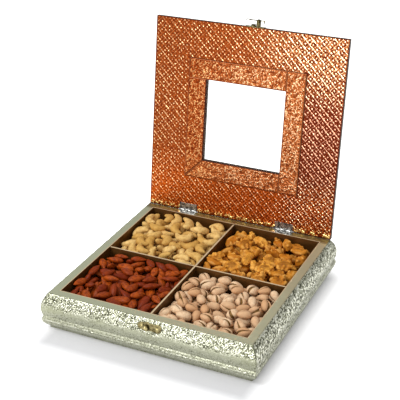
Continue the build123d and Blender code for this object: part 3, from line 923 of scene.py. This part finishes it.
def best_place(rng, ground, limit, low, under, over, late, drop):
    """The best of many random places: the deepest at first, and later the widest gap below the limit."""
    (width, depth), (w, d) = ground.shape, under.shape
    solid = np.isfinite(under)
    sink, most_sunk = 0.7 * MM, 0.3 * (over.max() - under.min())
    best = None
    for trial in range(PLACES_TRIED):
        px = int(rng.integers(0, max(1, width - w + 1)))
        py = int(rng.integers(0, max(1, depth - d + 1)))
        if late and trial % 4 == 0:
            px = 0
        elif late and trial % 4 == 1:
            py = max(0, depth - d)
        lowest = max((ground[px:px + w, py:py + d] - under)[solid].max(), low - under.min())
        highest = (limit[px:px + w, py:py + d] - over)[solid].min()
        if late:
            rest = highest - drop
            sunk = lowest - rest
            worth = -sunk
            fits = 0 <= sunk <= most_sunk and rest + under.min() > low
        else:
            rest = lowest - sink
            worth = highest - rest
            fits = worth >= 0
        if fits and (best is None or worth > best[0]):
            best = (worth, rest, px, py)
    return best


def heap(name, nuts, region, low, top, tilt, spin, tries, seed):
    """Drops copies of the nuts into a compartment until it is full up to the top."""
    rng = np.random.default_rng(seed)
    x0, _, y0, _ = region
    limit = ceiling(region, top)
    ground = np.full(limit.shape, low)
    clouds = [surface_points(nut) for nut in nuts]
    copies, failures = [], 0
    while failures < EASY_FAILURES + tries and len(copies) < MOST_NUTS:
        which = int(rng.integers(len(nuts)))
        late = failures > EASY_FAILURES
        turn, size = random_turn(rng, late, tilt, spin)
        drop = rng.uniform(*DROPS) * MM
        under, over, (ox, oy) = footprint(clouds[which] @ (np.array(turn).T * size))
        best = best_place(rng, ground, limit, low, under, over, late, drop)
        if best is None:
            failures += 1
            continue
        _, rest, px, py = best
        solid = np.isfinite(under)
        part = ground[px:px + under.shape[0], py:py + under.shape[1]]
        part[solid] = np.maximum(part[solid], rest + over[solid])
        place = Vector((x0 + (px + ox) * SQUARE, y0 + (py + oy) * SQUARE, rest))
        copy = nuts[which].copy()
        copy.data = nuts[which].data.copy()
        bpy.context.scene.collection.objects.link(copy)
        copy.data.transform(Matrix.Translation(place) @ turn.to_4x4() @ Matrix.Scale(size, 4))
        set_number(copy, "tint", np.full(len(copy.data.vertices), rng.random()))
        copies.append(copy)
    piece = join(name, copies)
    piece.data.name = name
    piece.matrix_world = Matrix.Identity(4)
    for nut in nuts:
        bpy.data.objects.remove(nut)
    only(piece)
    bpy.ops.object.shade_smooth()
    return piece


def fill_compartment(name, nuts, corner, top, tilt, spin, tries, draw, finish):
    """Heaps the nuts in the compartment at a corner of the tray and paints them."""
    own_unit = 0.010
    for nut in nuts:
        set_vector(nut, "own", points_of(nut) / own_unit)
    size = sizes()
    piece = heap(name, nuts, compartment(*corner), size.card_floor, top, tilt, spin, tries, size.seed + draw)
    paint(piece, finish)
    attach(piece, "box")


# Shader nodes


def node(tree, kind, **settings):
    made = tree.nodes.new(kind)
    for name, value in settings.items():
        setattr(made, name, value)
    return made


def feed(tree, socket, value):
    """Links an output to a socket, or sets the socket's own value."""
    if isinstance(value, bpy.types.NodeSocket):
        tree.links.new(value, socket)
    elif hasattr(value, "__len__") and len(value) == 3 and socket.type == "RGBA":
        socket.default_value = (*value, 1)
    else:
        socket.default_value = value


def feed_all(tree, made, **values):
    """Feeds a node's inputs by their names, with _ for a space."""
    for title, value in values.items():
        feed(tree, made.inputs[title.replace("_", " ")], value)
    return made


def calc(tree, operation, a, b=0.0):
    made = node(tree, "ShaderNodeMath", operation=operation)
    feed(tree, made.inputs[0], a)
    feed(tree, made.inputs[1], b)
    return made.outputs[0]


def plus(tree, a, b):
    return calc(tree, "ADD", a, b)


def minus(tree, a, b):
    return calc(tree, "SUBTRACT", a, b)


def times(tree, a, b):
    return calc(tree, "MULTIPLY", a, b)


def larger(tree, a, b):
    return calc(tree, "MAXIMUM", a, b)


def mixed(tree, factor, a, b):
    made = node(tree, "ShaderNodeMix", data_type="RGBA")
    for number, value in ((0, factor), (6, a), (7, b)):
        feed(tree, made.inputs[number], value)
    return made.outputs[2]


def ranged(tree, value, low, high, to_low=0.0, to_high=1.0):
    """Goes smoothly from to_low to to_high while the value goes from low to high."""
    made = node(tree, "ShaderNodeMapRange", interpolation_type="SMOOTHSTEP")
    feed_all(tree, made, Value=value, From_Min=low, From_Max=high, To_Min=to_low, To_Max=to_high)
    return made.outputs["Result"]


def attribute(tree, name, output="Fac"):
    return node(tree, "ShaderNodeAttribute", attribute_name=name).outputs[output]


def object_place(tree):
    return node(tree, "ShaderNodeTexCoord").outputs["Object"]


def axes(tree):
    """The place on the object as its three numbers."""
    apart = node(tree, "ShaderNodeSeparateXYZ")
    tree.links.new(object_place(tree), apart.inputs[0])
    return [apart.outputs[axis] for axis in "XYZ"]


def stretched(tree, place, scale):
    made = node(tree, "ShaderNodeMapping")
    return feed_all(tree, made, Vector=place, Scale=scale).outputs["Vector"]


def bumped(tree, shader, height, strength, distance):
    bump = feed_all(tree, node(tree, "ShaderNodeBump"), Strength=strength, Distance=distance, Height=height)
    tree.links.new(bump.outputs["Normal"], shader.inputs["Normal"])


# Node groups


def new_group(name, inputs, outputs):
    group = bpy.data.node_groups.new(name, "ShaderNodeTree")
    for title, kind, default in inputs:
        socket = group.interface.new_socket(title, in_out="INPUT", socket_type=kind)
        socket.default_value = default
    for title, kind in outputs:
        group.interface.new_socket(title, in_out="OUTPUT", socket_type=kind)
    return group, group.nodes.new("NodeGroupInput").outputs, group.nodes.new("NodeGroupOutput").inputs


def speckle_group():
    """Noise over the object at a given size, as a value and a finer value."""
    group = bpy.data.node_groups.get("Speckle")
    if group:
        return group
    group, given, result = new_group(
        "Speckle",
        [("Vector", "NodeSocketVector", (0, 0, 0)), ("Scale", "NodeSocketFloat", 100.0),
         ("Detail", "NodeSocketFloat", 3.0)],
        [("Value", "NodeSocketFloat"), ("Fine", "NodeSocketFloat")],
    )
    for title, scale in (("Value", given["Scale"]), ("Fine", times(group, given["Scale"], 4.7))):
        noise = feed_all(group, node(group, "ShaderNodeTexNoise"), Vector=given["Vector"], Scale=scale,
                         Detail=given["Detail"])
        group.links.new(noise.outputs["Fac"], result[title])
    return group


def emboss_group():
    """Colour and roughness of pressed foil: painted shade with tarnish in the rougher recesses, and polished
    ridges with a painted highlight.
    """
    group = bpy.data.node_groups.get("Pressed Foil")
    if group:
        return group
    group, given, result = new_group(
        "Pressed Foil",
        [("Relief", "NodeSocketFloat", 0.0), ("Wear", "NodeSocketFloat", 0.5),
         ("Base", "NodeSocketColor", (0.5, 0.5, 0.5, 1)), ("Ridge", "NodeSocketColor", (0.9, 0.9, 0.9, 1)),
         ("Recess", "NodeSocketColor", (0.1, 0.1, 0.1, 1)), ("Recess Amount", "NodeSocketFloat", 0.5),
         ("Ridge Amount", "NodeSocketFloat", 0.5)],
        [("Color", "NodeSocketColor"), ("Roughness", "NodeSocketFloat")],
    )
    relief = given["Relief"]
    # Painted shade with tarnish: the recess colour over the low places
    low = times(group, ranged(group, relief, 0.30, 0.02), given["Recess Amount"])
    # Painted highlight: the pale ridge colour over the high places
    high = times(group, ranged(group, relief, 0.42, 0.82), given["Ridge Amount"])
    shaded = mixed(group, low, given["Base"], given["Recess"])
    group.links.new(mixed(group, high, shaded, given["Ridge"]), result["Color"])
    rough = plus(group, ranged(group, relief, 0.9, 0.1, 0.17, 0.36), times(group, given["Wear"], 0.12))
    group.links.new(rough, result["Roughness"])
    return group


def use_group(tree, group, **values):
    made = node(tree, "ShaderNodeGroup")
    made.node_tree = group
    return feed_all(tree, made, **values)


def speckle(tree, scale, detail, place=None):
    """The outputs of the speckle group, over the object or over another place."""
    place = place or object_place(tree)
    return use_group(tree, speckle_group(), Vector=place, Scale=scale, Detail=detail).outputs


# Materials


def material(name):
    made = bpy.data.materials.new(name)
    made.use_nodes = True
    shader = made.node_tree.nodes["Principled BSDF"]
    return made, made.node_tree, shader


def paint(piece, finish):
    piece.data.materials.clear()
    piece.data.materials.append(finish)


def foil_material(name, recess, recess_amount, ridge_amount):
    """Pressed foil; its Base and Ridge colours and its Relief are fed by what each foil is."""
    made, tree, shader = material(name)
    fine = speckle(tree, scale=620.0, detail=2.0)
    pressed = use_group(tree, emboss_group(), Wear=fine["Value"], Recess=recess, Recess_Amount=recess_amount,
                        Ridge_Amount=ridge_amount)
    feed_all(tree, shader, Roughness=pressed.outputs["Roughness"], Metallic=1.0)
    bumped(tree, shader, fine["Fine"], strength=0.35, distance=0.2 * MM)
    return made, tree, shader, pressed


def foil_grain(tree, scale):
    """Fine bumps and dimples to add to the relief."""
    return ranged(tree, speckle(tree, scale, detail=1.0)["Value"], 0.36, 0.64, -0.24, 0.26)


def fold_shine(tree, turned):
    """Takes the shine off the turned edges."""
    return minus(tree, 0.5, times(tree, turned, 0.45))


def silver_material(tint):
    """Silver foil: duller over the belly, plain on the flat rim with a painted shadow and copper reflection
    along the hinges, and painted shade where it is turned.
    """
    made, tree, shader, pressed = foil_material(
        "Silver foil", tint.silver_recess, recess_amount=0.9, ridge_amount=0.75)
    run, turned = attribute(tree, "run"), attribute(tree, "turned")
    rim = ranged(tree, run, 10.2, 8.2)
    belly = ranged(tree, run, 28.0, 36.0)
    # Painted shadow and copper reflection: the rim along the hinges is darkened
    rear_shade = ranged(tree, axes(tree)[1], 0.110, 0.118)
    worn = ranged(tree, speckle(tree, scale=34.0, detail=3.0)["Value"], 0.42, 0.66)
    feed_all(tree, pressed, Base=mixed(tree, worn, tint.silver, tint.silver_worn), Ridge=tint.silver_ridge,
             Relief=plus(tree, attribute(tree, "relief"), times(tree, foil_grain(tree, 640.0), belly)))
    tone = mixed(tree, times(tree, belly, 0.3), pressed.outputs["Color"], tint.silver_belly)
    tone = mixed(tree, rim, tone, mixed(tree, rear_shade, tint.silver_rim, tint.silver_rear_shade))
    metal = minus(tree, ranged(tree, rim, 0.0, 1.0, 0.92, 0.5), turned)
    metal = larger(tree, minus(tree, metal, times(tree, belly, 0.36)), 0.0)
    dimmed = larger(tree, times(tree, rim, 0.36), times(tree, turned, 0.7))
    # Painted shade where the foil is turned
    feed_all(tree, shader, Base_Color=mixed(tree, turned, tone, tint.silver_fold_shade), Metallic=metal,
             Roughness=larger(tree, pressed.outputs["Roughness"], dimmed),
             Specular_IOR_Level=fold_shine(tree, turned))
    return made


def copper_material(tint):
    """Copper foil with painted reflections: warm by the hinges, a pale painted highlight in the upper right
    corner, and a painted dark reflection down the right edge.
    """
    made, tree, shader, pressed = foil_material(
        "Copper foil", tint.copper_recess, recess_amount=0.6, ridge_amount=0.95)
    x, _, z = axes(tree)
    # Painted highlight in the upper right corner and painted dark reflection down the right edge
    pale = times(tree, ranged(tree, x, -0.03, 0.10), ranged(tree, z, 0.19, 0.28))
    dimmed = times(tree, ranged(tree, x, 0.045, 0.085),
                 times(tree, ranged(tree, z, 0.26, 0.19), ranged(tree, z, 0.08, 0.13)))
    busy = larger(tree, ranged(tree, x, 0.045, 0.08), times(tree, pale, 0.8))
    # Painted reflection: warmer copper by the hinges
    base = mixed(tree, ranged(tree, z, 0.14, 0.07), tint.copper, tint.copper_warm_reflection)
    base = mixed(tree, times(tree, pale, 0.6), base, tint.copper_pale_highlight)
    base = mixed(tree, times(tree, dimmed, 0.85), base, tint.copper_dark_reflection)
    relief = attribute(tree, "relief")
    cross = times(tree, ranged(tree, relief, 0.375, 0.43, 0.0, 0.3), busy)
    grain = times(tree, foil_grain(tree, 520.0), ranged(tree, busy, 0.0, 1.0, 0.55, 1.0))
    # Painted highlights: the ridge colour changes towards the left, by the hinges and down the right edge
    ridge = mixed(tree, ranged(tree, x, -0.04, 0.06), tint.ridge_left, tint.copper_ridge)
    ridge = mixed(tree, ranged(tree, z, 0.064, 0.048), ridge, tint.ridge_low)
    feed_all(tree, pressed, Base=base, Relief=plus(tree, plus(tree, relief, cross), grain),
             Ridge=mixed(tree, dimmed, ridge, tint.ridge_dark_reflection),
             Recess_Amount=ranged(tree, busy, 0.0, 1.0, 0.8, 1.0))
    # Painted shadow along the strips' outer edges, stronger beside the right and top strips
    shadow_side = larger(tree, ranged(tree, x, 0.070, 0.076), ranged(tree, z, 0.235, 0.243))
    joint = times(tree, ranged(tree, attribute(tree, "trim_gap"), 1.3, 0.5),
                  ranged(tree, shadow_side, 0.0, 1.0, 0.3, 0.85))
    feed_all(tree, shader, Base_Color=mixed(tree, joint, pressed.outputs["Color"], tint.copper_strip_shadow))
    return made


def trim_material(tint):
    """Copper strips with painted light: darker to the left, paler to the right and near the hinges, with
    painted shade on their sides.
    """
    made, tree, shader, pressed = foil_material(
        "Copper trim", tint.copper_recess, recess_amount=0.75, ridge_amount=0.5)
    x, _, z = axes(tree)
    right = ranged(tree, x, -0.085, 0.03)
    low = ranged(tree, z, 0.135, 0.105, 0.0, 0.7)
    turned = attribute(tree, "turned")
    # Painted light: the strips' colours change from left to right and towards the hinges
    feed_all(tree, pressed, Relief=attribute(tree, "relief"),
             Base=mixed(tree, low, mixed(tree, right, tint.trim_left, tint.trim_right), tint.trim_low),
             Ridge=mixed(tree, right, tint.trim_ridge_left, tint.trim_ridge_right))
    edge = times(tree, ranged(tree, attribute(tree, "edge"), 0.7, 0.2), 0.4)
    tone = mixed(tree, edge, pressed.outputs["Color"], tint.trim_edge)
    # Painted shade on the strips' sides
    feed_all(tree, shader, Base_Color=mixed(tree, turned, tone, tint.trim_fold_shade),
             Metallic=minus(tree, 1.0, turned), Specular_IOR_Level=fold_shine(tree, turned))
    return made


def metal_material(name, base, stain, roughness):
    """Dull plated metal with streaks, darker where it is tarnished."""
    made, tree, shader = material(name)
    broad = speckle(tree, scale=240.0, detail=4.0)
    feed_all(tree, shader, Base_Color=mixed(tree, ranged(tree, broad["Value"], 0.4, 0.7), base, stain),
             Roughness=ranged(tree, broad["Fine"], 0.3, 0.7, roughness, roughness + 0.18), Metallic=1.0)
    bumped(tree, shader, broad["Fine"], strength=0.3, distance=0.1 * MM)
    return made


def card_material(name, face, edge, edge_height):
    """Gold faced card whose cut edge, above a height, is pale."""
    made, tree, shader = material(name)
    grain = speckle(tree, scale=900.0, detail=3.0)
    raw = ranged(tree, axes(tree)[2], edge_height - 0.12 * MM, edge_height - 0.04 * MM)
    tone = mixed(tree, ranged(tree, grain["Value"], 0.35, 0.7), face, [c * 0.62 for c in face])
    feed_all(tree, shader, Base_Color=mixed(tree, raw, tone, edge),
             Metallic=minus(tree, 0.55, times(tree, raw, 0.55)),
             Roughness=ranged(tree, raw, 0.0, 1.0, 0.38, 0.8))
    bumped(tree, shader, grain["Fine"], strength=0.3, distance=0.1 * MM)
    return made


def wood_material(name, base):
    """Plain sawn wood with long grain."""
    made, tree, shader = material(name)
    along = stretched(tree, object_place(tree), (1.0, 14.0, 14.0))
    grain = speckle(tree, scale=14.0, detail=6.0, place=along)
    tone = mixed(tree, ranged(tree, grain["Value"], 0.35, 0.65), base, [c * 0.5 for c in base])
    feed_all(tree, shader, Base_Color=tone, Roughness=ranged(tree, grain["Fine"], 0.3, 0.7, 0.6, 0.8))
    bumped(tree, shader, grain["Fine"], strength=0.4, distance=0.3 * MM)
    return made


def glass_material(name):
    """The clear pane, with a faint unevenness."""
    made, tree, shader = material(name)
    wave = speckle(tree, scale=12.0, detail=1.0)
    feed_all(tree, shader, Base_Color=(0.995, 1.0, 0.998), Transmission_Weight=1.0, IOR=1.2,
             Roughness=ranged(tree, wave["Fine"], 0.3, 0.8, 0.01, 0.05))
    return made


def nut_material(name, kind, roughness, groove=None, extra=None):
    """Skin or shell of a nut: each nut has its own tint, with finer marks on it."""
    tint = colours()
    base, dark, pale = (getattr(tint, kind + ending) for ending in ("", "_dark", "_pale"))
    made, tree, shader = material(name)
    marks = speckle(tree, scale=260.0, detail=4.0)
    tone = mixed(tree, 0.5, base, mixed(tree, ranged(tree, attribute(tree, "tint"), 0.0, 1.0), dark, pale))
    tone = mixed(tree, ranged(tree, marks["Value"], 0.42, 0.68, 0.0, 0.6), tone, dark)
    height = marks["Fine"]
    if groove:
        along = stretched(tree, attribute(tree, "own", "Vector"), groove)
        lines = speckle(tree, scale=1.0, detail=2.0, place=along)
        tone = mixed(tree, ranged(tree, lines["Value"], 0.45, 0.6, 0.0, 0.55), tone, dark)
        height = lines["Value"]
    if extra:
        tone = extra(tree, tone, tint)
    feed_all(tree, shader, Base_Color=tone, Specular_IOR_Level=0.14,
             Roughness=ranged(tree, marks["Fine"], 0.3, 0.7, roughness, roughness + 0.15))
    bumped(tree, shader, height, strength=0.5, distance=0.4 * MM)
    return made


def walnut_light_and_shade(tree, tone, tint):
    """Painted highlight on the tips and painted shade in the folds, by how far out each place of the kernel
    lies.
    """
    fold = attribute(tree, "fold")
    tone = mixed(tree, ranged(tree, fold, 0.93, 1.0, 0.0, 0.3), tone, tint.walnut_tip_highlight)
    return mixed(tree, ranged(tree, fold, 0.62, 0.06, 0.0, 0.9), tone, tint.walnut_fold_shade)


def pistachio_kernels(tree, tone, tint):
    return mixed(tree, attribute(tree, "kernel"), tone, tint.pistachio_kernel)


# Operators


class FRUITBOX_OT_side_foils(bpy.types.Operator):
    """Covers the four mouldings with embossed silver foil"""

    bl_idname = "fruit_box.side_foils"
    bl_label = "Side foils"

    def execute(self, context):
        size = sizes()
        finish = silver_material(colours())
        sides = (
            ("front", size.half_depth, size.half_width, 0, ()),
            ("right", size.half_width, size.half_depth, 90, ()),
            ("back", size.half_depth, size.half_width, 180, tuple(-p / MM for p in HINGE_PLACES)),
            ("left", size.half_width, size.half_depth, 270, ()),
        )
        for side, across, along, turn, places in sides:
            piece = side_foil(side, across, along, turn, places, size)
            paint(piece, finish)
            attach(piece, "box")
            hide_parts(side + "_foil")
        return {"FINISHED"}


class FRUITBOX_OT_lid_inner_foil(bpy.types.Operator):
    """Lays the embossed copper sheet on the lid's inner face"""

    bl_idname = "fruit_box.lid_inner_foil"
    bl_label = "Copper sheet"

    def execute(self, context):
        piece = lid_inner_sheet(sizes())
        paint(piece, copper_material(colours()))
        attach(piece, "lid")
        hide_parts("lid_inner_foil")
        return {"FINISHED"}


class FRUITBOX_OT_lid_outer_foil(bpy.types.Operator):
    """Covers the lid's outer face and edges with embossed silver foil"""

    bl_idname = "fruit_box.lid_outer_foil"
    bl_label = "Lid cover"

    def execute(self, context):
        piece = lid_outer_sheet(sizes())
        paint(piece, bpy.data.materials["Silver foil"])
        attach(piece, "lid")
        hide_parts("lid_outer_foil")
        return {"FINISHED"}


class FRUITBOX_OT_trims(bpy.types.Operator):
    """Makes the four embossed strips round the window"""

    bl_idname = "fruit_box.trims"
    bl_label = "Trims"

    def execute(self, context):
        size = sizes()
        middle = LID_DEPTH / 2
        inner, outer = size.half_window, size.half_window + size.trim_width
        corner = (-inner, middle - inner, 0)
        strips = {
            "trim_right": (((inner, outer), (middle - outer, middle + outer)), []),
            "trim_top": (((-outer, inner), (middle + inner, middle + outer)), []),
            "trim_left": (((-outer, -inner), (middle - outer, middle + inner)), [(corner, (1, -1, 0))]),
            "trim_bottom": (((-outer, inner), (middle - outer, middle - inner)), [(corner, (-1, 1, 0))]),
        }
        finish = trim_material(colours())
        for name, (outline, mitres) in strips.items():
            piece = trim_strip(name, outline, mitres, size)
            paint(piece, finish)
            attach(piece, "lid")
            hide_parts(name)
        return {"FINISHED"}


class FRUITBOX_OT_hardware(bpy.types.Operator):
    """Finishes the hinges, the catch and the hook"""

    bl_idname = "fruit_box.hardware"
    bl_label = "Hardware"

    def execute(self, context):
        tint = colours()
        steel = metal_material("Plated steel", tint.steel, tint.steel_stain, roughness=0.2)
        brass = metal_material("Tarnished brass", tint.brass, tint.brass_stain, roughness=0.26)
        aged = metal_material("Aged brass", [c * 0.5 for c in tint.brass], tint.aged_stain, roughness=0.30)
        for name, part in frame["nodes"].items():
            if "hinge" in name or name == "bottom_nails":
                metal = steel
            elif name.startswith("hook") or name == "catch_plate":
                metal = aged
            elif name.startswith("catch"):
                metal = brass
            else:
                continue
            paint(part, metal)
            add_modifier(part, "WELD", merge_threshold=0.01 * MM)
            add_modifier(part, "BEVEL", width=0.16 * MM, segments=2, limit_method="ANGLE",
                         angle_limit=math.radians(50))
        return {"FINISHED"}


class FRUITBOX_OT_plain_parts(bpy.types.Operator):
    """Finishes the wood, the card lining, the dividers and the pane"""

    bl_idname = "fruit_box.plain_parts"
    bl_label = "Wood, card and pane"

    def execute(self, context):
        tint = colours()
        wood = wood_material("Plain wood", tint.wood)
        lining = card_material("Gold card", tint.card, tint.card_edge, 46 * MM)
        boards = card_material("Divider card", tint.card, tint.card_edge, 45 * MM)
        for name, part in frame["nodes"].items():
            if name.endswith("_liner"):
                paint(part, lining)
            elif name.startswith("divider"):
                paint(part, boards)
            elif name.endswith("_wall") or name in ("bottom_board", "lid_panel"):
                paint(part, wood)
        paint(frame["nodes"]["window_pane"], glass_material("Clear pane"))
        return {"FINISHED"}


class FRUITBOX_OT_almonds(bpy.types.Operator):
    """Fills the front left compartment with almonds"""

    bl_idname = "fruit_box.almonds"
    bl_label = "Almonds"

    def execute(self, context):
        finish = nut_material("Almond skin", "almond", roughness=0.36, groove=(1.2, 9.0, 9.0))
        fill_compartment("almonds", [make_almond()], (-1, -1), sizes().almond_level,
                         tilt=0.42, spin=False, tries=25, draw=0, finish=finish)
        return {"FINISHED"}


class FRUITBOX_OT_cashews(bpy.types.Operator):
    """Fills the back left compartment with cashews"""

    bl_idname = "fruit_box.cashews"
    bl_label = "Cashews"

    def execute(self, context):
        finish = nut_material("Cashew", "cashew", roughness=0.45)
        fill_compartment("cashews", [make_cashew()], (-1, 1), sizes().nut_level,
                         tilt=0.5, spin=False, tries=200, draw=1, finish=finish)
        return {"FINISHED"}


class FRUITBOX_OT_walnuts(bpy.types.Operator):
    """Fills the back right compartment with walnut halves"""

    bl_idname = "fruit_box.walnuts"
    bl_label = "Walnuts"

    def execute(self, context):
        finish = nut_material("Walnut", "walnut", roughness=0.36, extra=walnut_light_and_shade)
        kinds = [make_walnut(number) for number in range(4)]
        fill_compartment("walnuts", kinds, (1, 1), sizes().nut_level,
                         tilt=0.4, spin=True, tries=300, draw=2, finish=finish)
        return {"FINISHED"}


class FRUITBOX_OT_pistachios(bpy.types.Operator):
    """Fills the front right compartment with pistachios"""

    bl_idname = "fruit_box.pistachios"
    bl_label = "Pistachios"

    def execute(self, context):
        finish = nut_material("Pistachio", "pistachio", roughness=0.42, extra=pistachio_kernels)
        fill_compartment("pistachios", [make_pistachio()], (1, -1), sizes().nut_level,
                         tilt=0.30, spin=True, tries=120, draw=3, finish=finish)
        return {"FINISHED"}


def area_lamp(name, place, target, size, power):
    data = bpy.data.lights.new(name, "AREA")
    data.shape = "RECTANGLE"
    data.size, data.size_y = size
    data.energy = power
    lamp = bpy.data.objects.new(name, data)
    bpy.context.scene.collection.objects.link(lamp)
    lamp.location = place
    lamp.rotation_euler = (Vector(place) - Vector(target)).to_track_quat("Z", "Y").to_euler()


def seen_rays(tree):
    """The light path's outputs, and one for what the camera sees straight or through the pane."""
    rays = node(tree, "ShaderNodeLightPath").outputs
    return rays, larger(tree, rays["Is Camera Ray"], rays["Is Transmission Ray"])


class FRUITBOX_OT_stage(bpy.types.Operator):
    """Sets the white floor, the lamps, the world and the camera"""

    bl_idname = "fruit_box.stage"
    bl_label = "Stage"

    def execute(self, context):
        self.floor()
        self.world()
        area_lamp("Key", (-0.75, -0.75, 1.35), target=(0, 0, 0.03), size=(0.5, 0.5), power=12)
        area_lamp("Front", (-0.30, -1.90, 0.50), target=(0, 0.1, 0.15), size=(0.5, 0.35), power=10)
        self.camera()
        context.scene.view_settings.view_transform = "Standard"
        return {"FINISHED"}

    def floor(self):
        """A floor that glows white but for a soft shade under the box, cast and also painted into its colour.
        """
        bpy.ops.object.select_all(action="DESELECT")
        bpy.ops.mesh.primitive_plane_add(size=8)
        floor = bpy.context.object
        floor.name = "Floor"
        tint = colours()
        made, tree, shader = material("White floor")
        x, y, _ = axes(tree)
        squares = []
        # Painted shadow: the floor's colour darkens towards the box, about a middle set to the right and
        # front
        for value, middle, half in ((x, 0.005, 0.121), (y, -0.024, 0.130)):
            beside = minus(tree, calc(tree, "ABSOLUTE", minus(tree, value, middle)), half)
            squares.append(calc(tree, "POWER", larger(tree, beside, 0.0), 2.0))
        away = calc(tree, "SQRT", plus(tree, *squares))
        rays, seen = seen_rays(tree)
        seen = larger(tree, seen, times(tree, rays["Is Glossy Ray"], 0.5))
        feed_all(tree, shader, Roughness=0.9, Emission_Color=(1, 1, 1),
                 Base_Color=mixed(tree, ranged(tree, away, 0.0, 0.05), tint.floor_shade, tint.floor),
                 Emission_Strength=times(tree, seen, ranged(tree, away, -0.01, 0.045)))
        paint(floor, made)

    def world(self):
        """White light that is stronger from above, behind a white that the camera sees."""
        world = bpy.data.worlds.new("Plain light")
        world.use_nodes = True
        tree = world.node_tree
        way = node(tree, "ShaderNodeSeparateXYZ")
        tree.links.new(node(tree, "ShaderNodeTexCoord").outputs["Generated"], way.inputs[0])
        sky = ranged(tree, way.outputs["Z"], 0.0, 0.8, 0.3, 0.85)
        _, seen = seen_rays(tree)
        feed_all(tree, tree.nodes["Background"], Color=(1, 1, 1), Strength=larger(tree, sky, seen))
        bpy.context.scene.world = world

    def camera(self):
        """The long lens of the photograph, solved from the box's straight edges."""
        azimuth, elevation, roll = math.radians(25.44), math.radians(26.59), math.radians(-0.59)
        distance, to_right, to_top, rim_height = 1.2313, 0.0066, 0.0782, 0.046
        focal_pixels, picture_pixels = 1026.77, 400
        back = Vector((math.sin(azimuth) * math.cos(elevation), -math.cos(azimuth) * math.cos(elevation),
                       math.sin(elevation)))
        right = Vector((math.cos(azimuth), math.sin(azimuth), 0))
        up = back.cross(right)
        place = back * distance + right * to_right + up * to_top + Vector((0, 0, rim_height))
        side = right * math.cos(roll) + up * math.sin(roll)
        top = up * math.cos(roll) - right * math.sin(roll)
        data = bpy.data.cameras.new("Camera")
        data.sensor_width = 36
        data.lens = focal_pixels / picture_pixels * data.sensor_width
        camera = bpy.data.objects.new("Camera", data)
        bpy.context.scene.collection.objects.link(camera)
        turn = Matrix((side, top, back)).transposed().to_4x4()
        camera.matrix_world = Matrix.Translation(place) @ turn
        bpy.context.scene.camera = camera


class FRUITBOX_PT_panel(bpy.types.Panel):
    """Lists the sizes, the colours and the steps"""

    bl_label = "Dried fruit box"
    bl_idname = "FRUITBOX_PT_panel"
    bl_space_type = "VIEW_3D"
    bl_region_type = "UI"
    bl_category = "Fruit Box"

    def draw(self, context):
        layout = self.layout
        for group in (context.scene.fruit_box_sizes, context.scene.fruit_box_colours):
            column = layout.column()
            for name in group.bl_rna.properties.keys():
                if name not in ("rna_type", "name"):
                    column.prop(group, name)
        for step in STEPS:
            layout.operator(step.bl_idname)


STEPS = (
    FRUITBOX_OT_side_foils,
    FRUITBOX_OT_lid_inner_foil,
    FRUITBOX_OT_lid_outer_foil,
    FRUITBOX_OT_trims,
    FRUITBOX_OT_hardware,
    FRUITBOX_OT_plain_parts,
    FRUITBOX_OT_almonds,
    FRUITBOX_OT_cashews,
    FRUITBOX_OT_walnuts,
    FRUITBOX_OT_pistachios,
    FRUITBOX_OT_stage,
)

CLASSES = (FruitBoxSizes, FruitBoxColours, *STEPS, FRUITBOX_PT_panel)


def register():
    for each in CLASSES:
        bpy.utils.register_class(each)
    bpy.types.Scene.fruit_box_sizes = PointerProperty(type=FruitBoxSizes)
    bpy.types.Scene.fruit_box_colours = PointerProperty(type=FruitBoxColours)


def unregister():
    del bpy.types.Scene.fruit_box_colours
    del bpy.types.Scene.fruit_box_sizes
    for each in reversed(CLASSES):
        bpy.utils.unregister_class(each)


def main():
    register()
    bpy.ops.fruit_box.side_foils()
    bpy.ops.fruit_box.lid_inner_foil()
    bpy.ops.fruit_box.lid_outer_foil()
    bpy.ops.fruit_box.trims()
    bpy.ops.fruit_box.hardware()
    bpy.ops.fruit_box.plain_parts()
    bpy.ops.fruit_box.almonds()
    bpy.ops.fruit_box.cashews()
    bpy.ops.fruit_box.walnuts()
    bpy.ops.fruit_box.pistachios()
    bpy.ops.fruit_box.stage()


if __name__ == "__main__":
    main()
